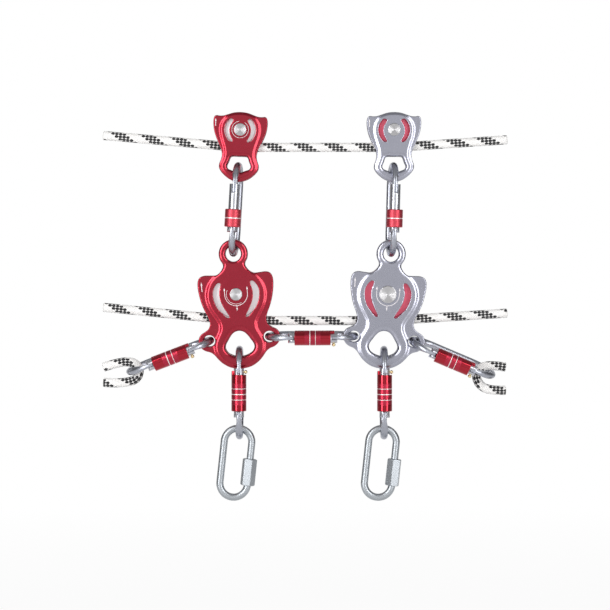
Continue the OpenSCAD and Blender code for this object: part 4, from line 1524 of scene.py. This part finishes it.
@dataclass(frozen=True)
class QuickLink:
    """An oval link of round bar with a mouth that a long hexagonal nut closes."""

    name: str
    nut_turn: float
    bar_r: float = 4.25
    length: float = 90.0
    width: float = 41.0
    mouth: float = 12.0
    mouth_over_nut: float = 5.0
    thread: float = 0.22
    thread_pitch: float = 1.0
    nut_low: float = -25.2
    nut_l: float = 31.6
    nut_r: float = 8.75
    nut_cut: float = 2.4
    play: float = 0.05

    def place(self) -> Place:
        """The link's middle and axes, from its swing joint and its nut's travel.

        Returns:
            Its middle, with local Z upwards and its mouth towards local X.
        """
        x = joint_axis(self.name + "_link_swing")
        z = joint_axis(self.name + "_nut_travel")
        axes = np.stack((x, np.cross(z, x), z), 1)
        top = joint_at(self.name + "_link_swing")
        return Place(top - axes @ vec(0, 0, self.length / 2 - self.bar_r), axes)

    def dress_body(self) -> None:
        """Builds the bent bar, with a screw thread towards each end of the mouth.

        The bar's radius falls by a cosine of the length along it where it is threaded, and
        evenly to a chamfer at both ends.
        """
        r = self.width / 2 - self.bar_r
        c = self.length / 2 - self.bar_r - r
        low = self.nut_low + self.mouth_over_nut
        bow = r * directions(np.linspace(0, math.pi, 64))
        path = join(np.stack((np.full(2, r), vec(low + self.mouth, c)), 1),
                    vec(0, c) + bow,
                    vec(0, -c) - bow,
                    np.stack((np.full(2, r), vec(-c, low)), 1))
        path = resample(path, 0.25)
        run = run_along(path)
        back = run[-1] - run
        threaded = (1 - ease(run, 13.0, 14.0)) + (1 - ease(back, 3.6, 4.4))
        wave = 0.5 + 0.5 * np.cos(run * 2 * math.pi / self.thread_pitch)
        chamfer = 0.7 * (1 - np.clip(np.minimum(run, back) / 0.8, 0, 1))
        radii = self.bar_r - self.thread * wave * np.clip(threaded, 0, 1) - chamfer
        section = radii[:, None, None] * directions(around(36))
        shape = Shape()
        shape.grid(swept(at_depth(path, 0), vec(0, 1, 0), section), first=True, last=True,
                   rows=run / 10)
        piece = shape.build(self.name + "_link_bar", self.place(), [finish(Finish.ZINC)])
        settle(piece, self.name + "_link", "link_steel", self.name + "_link_body")

    def dress_nut(self) -> None:
        """Builds the nut: six flats cut by a chamfer cone at both ends.

        The wall's radius is the hexagon's or the cone's, whichever is less. The hexagon's is
        the flats' distance over the cosine of the angle from the middle of a flat.
        """
        angles = around(180)
        flat = self.nut_r * math.cos(math.pi / 6)
        from_flat = (angles - math.radians(self.nut_turn)) % (math.pi / 3) - math.pi / 6
        end = np.linspace(0, self.nut_cut, 12)
        heights = np.concatenate((
            end, np.linspace(self.nut_cut, self.nut_l - self.nut_cut, 6)[1:-1],
            self.nut_l - end[::-1]))
        cone = flat - 0.5 + 1.7 * np.minimum(heights, self.nut_l - heights)
        outer = np.minimum((flat / np.cos(from_flat))[None], cone[:, None])
        bore = np.full((2, len(angles)), self.bar_r + self.play)
        radii = np.concatenate((outer, bore, outer[:1]))
        levels = np.concatenate((heights, [self.nut_l, 0], heights[:1])) + self.nut_low
        levels = np.broadcast_to(levels[:, None, None], (*radii.shape, 1))
        points = np.concatenate((radii[..., None] * directions(angles), levels), -1)
        shape = Shape()
        shape.grid(points + vec(self.width / 2 - self.bar_r, 0, 0))
        piece = shape.build(self.name + "_nut_hex", self.place(), [finish(Finish.ZINC)], True)
        settle(piece, self.name + "_nut", "link_steel", self.name + "_link_nut")

    def dress(self) -> None:
        """Builds the bar and its nut."""
        self.dress_body()
        self.dress_nut()


# ---------------------------------------------------------------- ropes

@dataclass(frozen=True)
class Rope:
    """A length of braided rope along a route in the X-Z plane, cut square at both ends."""

    node: str
    body: str
    route: np.ndarray
    start: float = 0.0
    radius: float = 5.5
    around: int = 10
    stitch: float = 4.5
    swell: float = 0.42

    def dress(self) -> None:
        """The radius swells at every stitch: cosines of U and V on two sets of stitches that
        are half a step apart, the greater of the two at each point.
        """
        flat = smooth_path(self.route, 0.62)
        run = run_along(flat)
        columns = self.around * 6
        u = math.pi * np.arange(columns)[None] / columns * self.around
        v = run / self.stitch + self.start
        turn = math.pi * v[:, None]
        stitches = np.maximum(
            np.cos(u - math.pi / 2) ** 2 * np.cos(turn - math.pi / 2) ** 2,
            np.cos(u) ** 2 * np.cos(turn) ** 2)
        drawn = rounded_off(np.minimum(run, run[-1] - run), 0.8, 0.5)
        radii = self.radius - self.swell * (1 - stitches ** 0.6) - drawn[:, None]
        centre, side = at_depth(flat, 0), vec(0, 1, 0)
        along, out = along_and_out(centre, side)
        shape = Shape()
        shape.grid(swept(centre, side, radii[..., None] * directions(around(columns))), rows=v)
        self.cut_end(shape, centre[0], -along[0], out[0], radii[0].mean())
        self.cut_end(shape, centre[-1], along[-1], out[-1], radii[-1].mean())
        world = Place(vec(0, 0, 0), np.eye(3))
        piece = shape.build(self.node + "_braid", world,
                            [finish(Finish.ROPE), finish(Finish.ROPE_CORE)])
        settle(piece, self.body, "rope", self.node)

    def cut_end(self, shape: Shape, centre: np.ndarray, along: np.ndarray, out: np.ndarray,
                radius: float) -> None:
        """Closes an end with a cut face of fused core yarns, a little domed.

        Each ring towards the middle is lifted further, by a dome and by a cosine of nine
        yarns round.

        Args:
            shape: where it is added.
            centre: the rope's middle at its end.
            along: the direction that the end looks in.
            out: a unit vector square to it.
            radius: the sheath's radius there.
        """
        angles = around(60)
        steps = np.array([1.0, 0.86, 0.6, 0.3])
        dome = np.array([0.0, 0.22, 0.42, 0.5])
        lift = dome[:, None] + 0.1 * np.cos(angles * 9)[None] * (steps < 1)[:, None]
        ring = directions(angles) @ np.stack((out, np.cross(along, out)))
        rows = centre + radius * steps[:, None, None] * ring[None] + lift[..., None] * along
        shape.grid(rows, last=True, marks=np.ones(len(steps) - 1, int))


def rope_routes(wheels: dict[str, np.ndarray],
                rods: dict[str, np.ndarray]) -> dict[str, np.ndarray]:
    """Routes of the four ropes in the X-Z plane, in millimetres.

    Args:
        wheels: axle centres by pulley name.
        rods: centre of the bar that each haul rope goes round.

    Returns:
        Points by rope node.
    """
    root_r, rope_r, clear = 25.4, 5.5, 0.3
    hug = root_r + rope_r + clear
    red, grey = wheels["red_large"], wheels["grey_large"]
    low_a, low_b = vec(red[0] - 1.4, red[2] - hug), vec(grey[0] + 0.6, grey[2] - hug)
    upper = [[-252, 14], [-212, 10.5], [-172, 7], [-131, 3.5], [-91, 0], [-60, 0], [-30, 0],
             [0, 0], [30, 0], [60, 0], [91, 0], [135, 3], [180, 6], [224, 9]]
    lower = ([[x, low_a[1] + z] for x, z in ((-252, 15.6), (-212, 11.6), (-172, 7.6), (-132, 3.6))]
             + [low_a + (low_b - low_a) * k / 6 for k in range(7)]
             + [[x, low_b[1] + z] for x, z in ((130, 2.9), (177, 5.9), (224, 8.9))])
    left = vec(-31.1, 4.9, -22.1, 7.8, -13.1, 10, -4.6, 11.2, 3.3, 10.2, 8.9, 6.2,
               10.9, 0, 9.1, -6.2, 3.9, -10.6, -5.1, -12.8, -18.1, -13.6, -31.1, -13)
    right = vec(16.1, 8.8, 6.1, 9.9, -3.9, 10.2, -11.9, 8.2, -16.9, 3.2, -17.9, -3.8,
                -14.9, -10.8, -8.9, -15.8, -0.9, -18, 8.1, -18.7, 16.1, -18.7)
    return {
        "upper_rope": np.array(upper, float), "lower_rope": np.array(lower, float),
        "left_haul_rope": left.reshape(-1, 2) + rods["left_haul"][[0, 2]],
        "right_haul_rope": right.reshape(-1, 2) + rods["right_haul"][[0, 2]]}


# ---------------------------------------------------------------- studio

@dataclass(frozen=True)
class Studio:
    """Camera, lamps, pale floor and white surroundings."""

    middle: tuple[float, float] = (-0.0143, -0.186)
    distance: float = 3.0
    rise: float = 0.076
    frame_width: float = 0.7198
    sensor_mm: float = 36.0
    floor_z: float = -0.62
    floor_half: float = 6.0
    lamp_far: float = 1.7
    lamp_z: float = 0.1
    lamp_size: tuple[float, float] = (0.5, 2.0)

    def camera(self) -> None:
        """Places a level camera in front of the trolley, a little above its middle.

        Its lens is the sensor's width times the distance over the width that it frames, and
        its shift brings the trolley's middle back to the middle of the frame.
        """
        data = bpy.data.cameras.new("camera")
        data.sensor_fit = "HORIZONTAL"
        data.sensor_width = self.sensor_mm
        data.lens = self.sensor_mm * self.distance / self.frame_width
        data.shift_y = -self.rise / self.frame_width
        data.clip_end = 20.0
        camera = bpy.data.objects.new("camera", data)
        camera.location = (self.middle[0], -self.distance, self.middle[1] + self.rise)
        camera.rotation_euler = (math.pi / 2, 0, 0)
        bpy.context.scene.collection.objects.link(camera)
        bpy.context.scene.camera = camera

    def lamp(self, name: str, turn: float, power: float) -> None:
        """Adds a tall soft strip of light aimed at the trolley's middle.

        Args:
            name: the lamp's name.
            turn: degrees to the right of straight in front.
            power: its power in watts.
        """
        data = bpy.data.lights.new(name, "AREA")
        data.shape = "RECTANGLE"
        data.size, data.size_y = self.lamp_size
        data.energy = power
        lamp = bpy.data.objects.new(name, data)
        a = math.radians(turn)
        at = vec(self.middle[0] + self.lamp_far * math.sin(a), -self.lamp_far * math.cos(a),
                 self.lamp_z)
        z = unit(at - vec(self.middle[0], 0, self.middle[1]))
        x = unit(np.cross(vec(0, 0, 1), z))
        matrix = np.eye(4)
        matrix[:3, :3], matrix[:3, 3] = np.stack((x, np.cross(z, x), z), 1), at
        lamp.matrix_world = Matrix(matrix.tolist())
        bpy.context.scene.collection.objects.link(lamp)

    def floor(self) -> None:
        """Adds the pale floor, white to the camera but with the trolley's shadow.

        To the camera it glows white, wholly so far away and a little less near the middle. A
        reflection sees that glow dimmed in front of the trolley and far to its sides.
        """
        mesh = bpy.data.meshes.new("floor")
        corners = [(x * self.floor_half, y * self.floor_half, self.floor_z)
                   for x, y in ((-1, -1), (1, -1), (1, 1), (-1, 1))]
        mesh.from_pydata(corners, [], [(0, 1, 2, 3)])
        floor = bpy.data.objects.new("floor", mesh)
        bpy.context.scene.collection.objects.link(floor)
        material, tree = new_tree("floor_paper")
        ray = add_node(tree, "LightPath").outputs
        place = add_node(tree, "TexCoord").outputs["Object"]
        far = add_node(tree, "VectorMath", (place,), operation="LENGTH").outputs["Value"]
        solid = add_node(tree, "MapRange", (far, 0.9, 2.0, 0.94, 1.0)).outputs[0]
        side = add_node(tree, "SeparateXYZ", (place,)).outputs
        depth = add_node(tree, "MapRange", (side[1], 0.1, 0.9, 0.5, 1.0)).outputs[0]
        aside = add_node(tree, "Math", (side[0],), operation="ABSOLUTE").outputs[0]
        flank = add_node(tree, "MapRange", (aside, 0.6, 1.5, 1.0, 0.2)).outputs[0]
        lit = add_node(tree, "Math", (depth, flank), operation="MULTIPLY").outputs[0]
        mirrored = add_node(tree, "Math", (ray["Is Glossy Ray"], lit),
                            operation="MULTIPLY").outputs[0]
        seen = add_node(tree, "Math", (ray["Is Camera Ray"], mirrored),
                        operation="MAXIMUM").outputs[0]
        share = add_node(tree, "Math", (seen, solid), operation="MULTIPLY").outputs[0]
        paper = add_node(tree, "BsdfDiffuse", {"Color": linear("#f4f4f4")}).outputs[0]
        glow = add_node(tree, "Emission", {"Color": linear("#ffffff"), "Strength": 1.0}).outputs[0]
        mixed = add_node(tree, "MixShader", (share, paper, glow)).outputs[0]
        add_node(tree, "OutputMaterial", {"Surface": mixed})
        mesh.materials.append(material)

    def surroundings(self) -> None:
        """White behind the trolley and to the camera, dimmer on the camera's side.

        The level is 1 to the camera, and else the greatest of three smooth ramps of the
        direction looked in: behind, in front and above. Polished bars need the dimmer side, or
        they turn as white as the background.
        """
        behind, front, above = (
            (0.72, 0.9, 0.0, 1.0), (-0.95, -0.6, 0.8, 0.13), (0.3, 0.9, 0.0, 0.35))
        world = bpy.data.worlds.new("studio")
        world.use_nodes = True
        bpy.context.scene.world = world
        tree = world.node_tree
        tree.nodes.clear()
        way = add_node(tree, "TexCoord").outputs["Generated"]
        parts = add_node(tree, "SeparateXYZ", (way,)).outputs
        level = add_node(tree, "LightPath").outputs["Is Camera Ray"]
        for part, ramp in ((parts[1], behind), (parts[1], front), (parts[2], above)):
            side = add_node(tree, "MapRange", (part, *ramp), interpolation_type="SMOOTHSTEP")
            level = add_node(tree, "Math", (level, side.outputs[0]), operation="MAXIMUM").outputs[0]
        glow = add_node(tree, "Background", {"Color": linear("#ffffff"), "Strength": level})
        add_node(tree, "OutputWorld", {"Surface": glow.outputs[0]})


# ---------------------------------------------------------------- the trolley

@dataclass
class Trolley:
    """The whole assembly: four pulleys, seven carabiners, two links and four ropes."""

    carabiners: list[Carabiner] = field(default_factory=lambda: [
        Carabiner("red_upper", Lock.SCREW, "carriage", 21.0),
        Carabiner("grey_upper", Lock.SCREW, "carriage", 21.0),
        Carabiner("middle", Lock.TWIST, "carriage", 42.2),
        Carabiner("left_haul", Lock.TWIST, "left_haul", 42.2),
        Carabiner("right_haul", Lock.TWIST, "right_haul", 42.2),
        Carabiner("red_load", Lock.TWIST, "red_load", 42.6, 3, -1.5),
        Carabiner("grey_load", Lock.TWIST, "grey_load", 42.6, 3, -1.5)])
    links: list[QuickLink] = field(default_factory=lambda: [
        QuickLink("red", 48.7), QuickLink("grey", 19.5)])

    def pulleys(self) -> list[tuple[Pulley, bool]]:
        """The four pulleys, each with whether it is a large one.

        Returns:
            A pair for each, in the order in which they are built.
        """
        red = (Finish.RED_ANODISED, "red_anodised", Finish.BARE_WHEEL, "sheave_silver")
        grey = (Finish.GREY_ANODISED, "grey_anodised", Finish.RED_WHEEL, "sheave_red")
        return [
            (Pulley("red_small", -2.3, *red, 14.7, 20.8, 7.5, 0.3, small_marks(True)), False),
            (Pulley("grey_small", 0.0, *grey, 14.7, 20.8, 7.5, 0.9, small_marks(False)), False),
            (Pulley("red_large", 4.2, *red, 25.4, 31.2, 7.4, 0.3, large_marks(True)), True),
            (Pulley("grey_large", -4.9, *grey, 25.4, 31.2, 10.3, 1.3, large_marks(False)), True)]

    def dress_ropes(self) -> None:
        """Builds the four ropes along their routes."""
        wheels = {p.name: p.centre() for p, _ in self.pulleys()}
        by_name = {c.name: c for c in self.carabiners}
        rods = {"left_haul": by_name["left_haul"].rod(-1),
                "right_haul": by_name["right_haul"].rod(1)}
        bodies = {"left_haul_rope": "left_haul", "right_haul_rope": "right_haul"}
        starts = {"upper_rope": 4.0, "lower_rope": 4.8, "left_haul_rope": 3.0}
        for node, route in rope_routes(wheels, rods).items():
            Rope(node, bodies.get(node, "carriage"), route, start=starts.get(node, 0.0)).dress()

    def dress_metal(self) -> None:
        """Builds the pulleys, the carabiners and the links."""
        forms = {True: large_cheek(), False: small_cheek()}
        for pulley, large in self.pulleys():
            pulley.dress(forms[large])
        for piece in (*self.carabiners, *self.links):
            piece.dress()


def main() -> None:
    """Builds the scene in order."""
    logging.basicConfig(level=logging.INFO, format="%(message)s")
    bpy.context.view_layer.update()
    studio = Studio()
    studio.camera()
    trolley = Trolley()
    trolley.dress_ropes()
    trolley.dress_metal()
    studio.floor()
    studio.lamp("left_strip", -40.0, 20.0)
    studio.lamp("right_strip", 41.0, 14.5)
    studio.surroundings()
    bpy.context.scene.view_settings.view_transform = "Standard"


if __name__ == "__main__":
    main()
